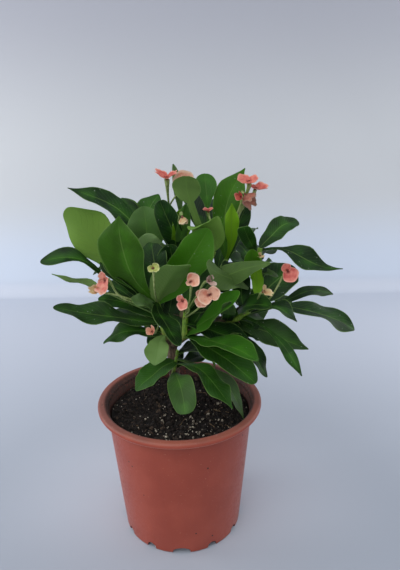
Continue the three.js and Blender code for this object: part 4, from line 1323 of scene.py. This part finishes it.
def backdrop():
    """Matt paper with light and shade painted on it: darker blue-grey in front, a painted patch of
    light round the plant, a lighter band low on the wall, and greyer again high up."""
    look = Finish("backdrop")
    height, depth = look.coordinate("Z"), look.coordinate("Y")
    # Painted shade: the floor darker towards the front.
    body = look.mix(depth.above(-60, 470), srgb(157, 164, 176), srgb(181, 187, 200))
    # Painted patch of light on the floor round the plant, which also lightens its shadow.
    painted_light_pool = (1 - look.distance().above(40, 210)) * depth.above(-110, 30)
    body = look.mix(painted_light_pool * 0.7, body, srgb(200, 206, 218))
    # Painted light: a lighter, bluer band low on the wall.
    body = look.mix(height.above(8, 34), body, srgb(190, 199, 213))
    body = look.mix(height.above(50, 190), body, srgb(186, 189, 193))
    # Painted shade: greyer high up on the wall.
    body = look.mix(height.above(240, 520), body, srgb(160, 162, 172))
    shader = look.surface({"Roughness": 0.8, "Specular IOR Level": 0.2}, {"Base Color": body})
    return look.finish(shader)


sweep.data.materials.append(backdrop())


def soft_light(name, place, aim, size, power, colour):
    """A square soft box at a place, turned to a point, both in metres."""
    lamp = bpy.data.lights.new(name, "AREA")
    lamp.shape = "SQUARE"
    lamp.size = size
    lamp.energy = power
    lamp.color = colour
    aimed = (Vector(aim) - Vector(place)).to_track_quat("-Z", "Y").to_matrix().to_4x4()
    put_out(name, lamp).matrix_world = Matrix.Translation(place) @ aimed


soft_light("overhead", (-0.15, -0.3, 1.3), (0, 0, 0.15), 2.2, 14, (1, 1, 1))
soft_light("front left", (-0.7, -1.2, 0.85), (0, 0, 0.15), 1.7, 10, (1, 0.99, 0.98))
soft_light("backdrop left", (-0.75, 0.1, 0.3), (-0.05, 0.56, 0.25), 0.4, 2.7, (1, 0.99, 0.97))
soft_light("backdrop right", (0.8, 0.1, 0.3), (0.15, 0.56, 0.25), 0.4, 1.7, (1, 0.99, 0.97))
soft_light("floor right", (0.5, 0.3, 0.3), (0.13, 0, 0), 0.3, 0.35, (1, 0.99, 0.98))
world = bpy.data.worlds.new("studio")
bpy.context.scene.world = world
world.use_nodes = True
sky = world.node_tree.nodes["Background"].inputs
sky["Color"].default_value = (0.86, 0.92, 1, 1)
sky["Strength"].default_value = 0.42

CAMERA_PLACE = (0.0177, -0.3953, 0.3425)
CAMERA_DIP = 19.02  # degrees below level
CAMERA_ROLL = 0.95
FRAME_HEIGHT = 570  # pixels of the picture's long side
FOCAL_PIXELS = 560

camera_data = bpy.data.cameras.new("camera")
camera_data.sensor_width = 36
camera_data.lens = camera_data.sensor_width * FOCAL_PIXELS / FRAME_HEIGHT
camera_data.clip_start = 0.01
camera_data.clip_end = 20
camera = put_out("camera", camera_data)
dip = Matrix.Rotation(math.radians(90 - CAMERA_DIP), 4, "X")
roll = Matrix.Rotation(math.radians(-CAMERA_ROLL), 4, "Z")
camera.matrix_world = Matrix.Translation(CAMERA_PLACE) @ dip @ roll
bpy.context.scene.camera = camera
bpy.context.scene.view_settings.view_transform = "Standard"
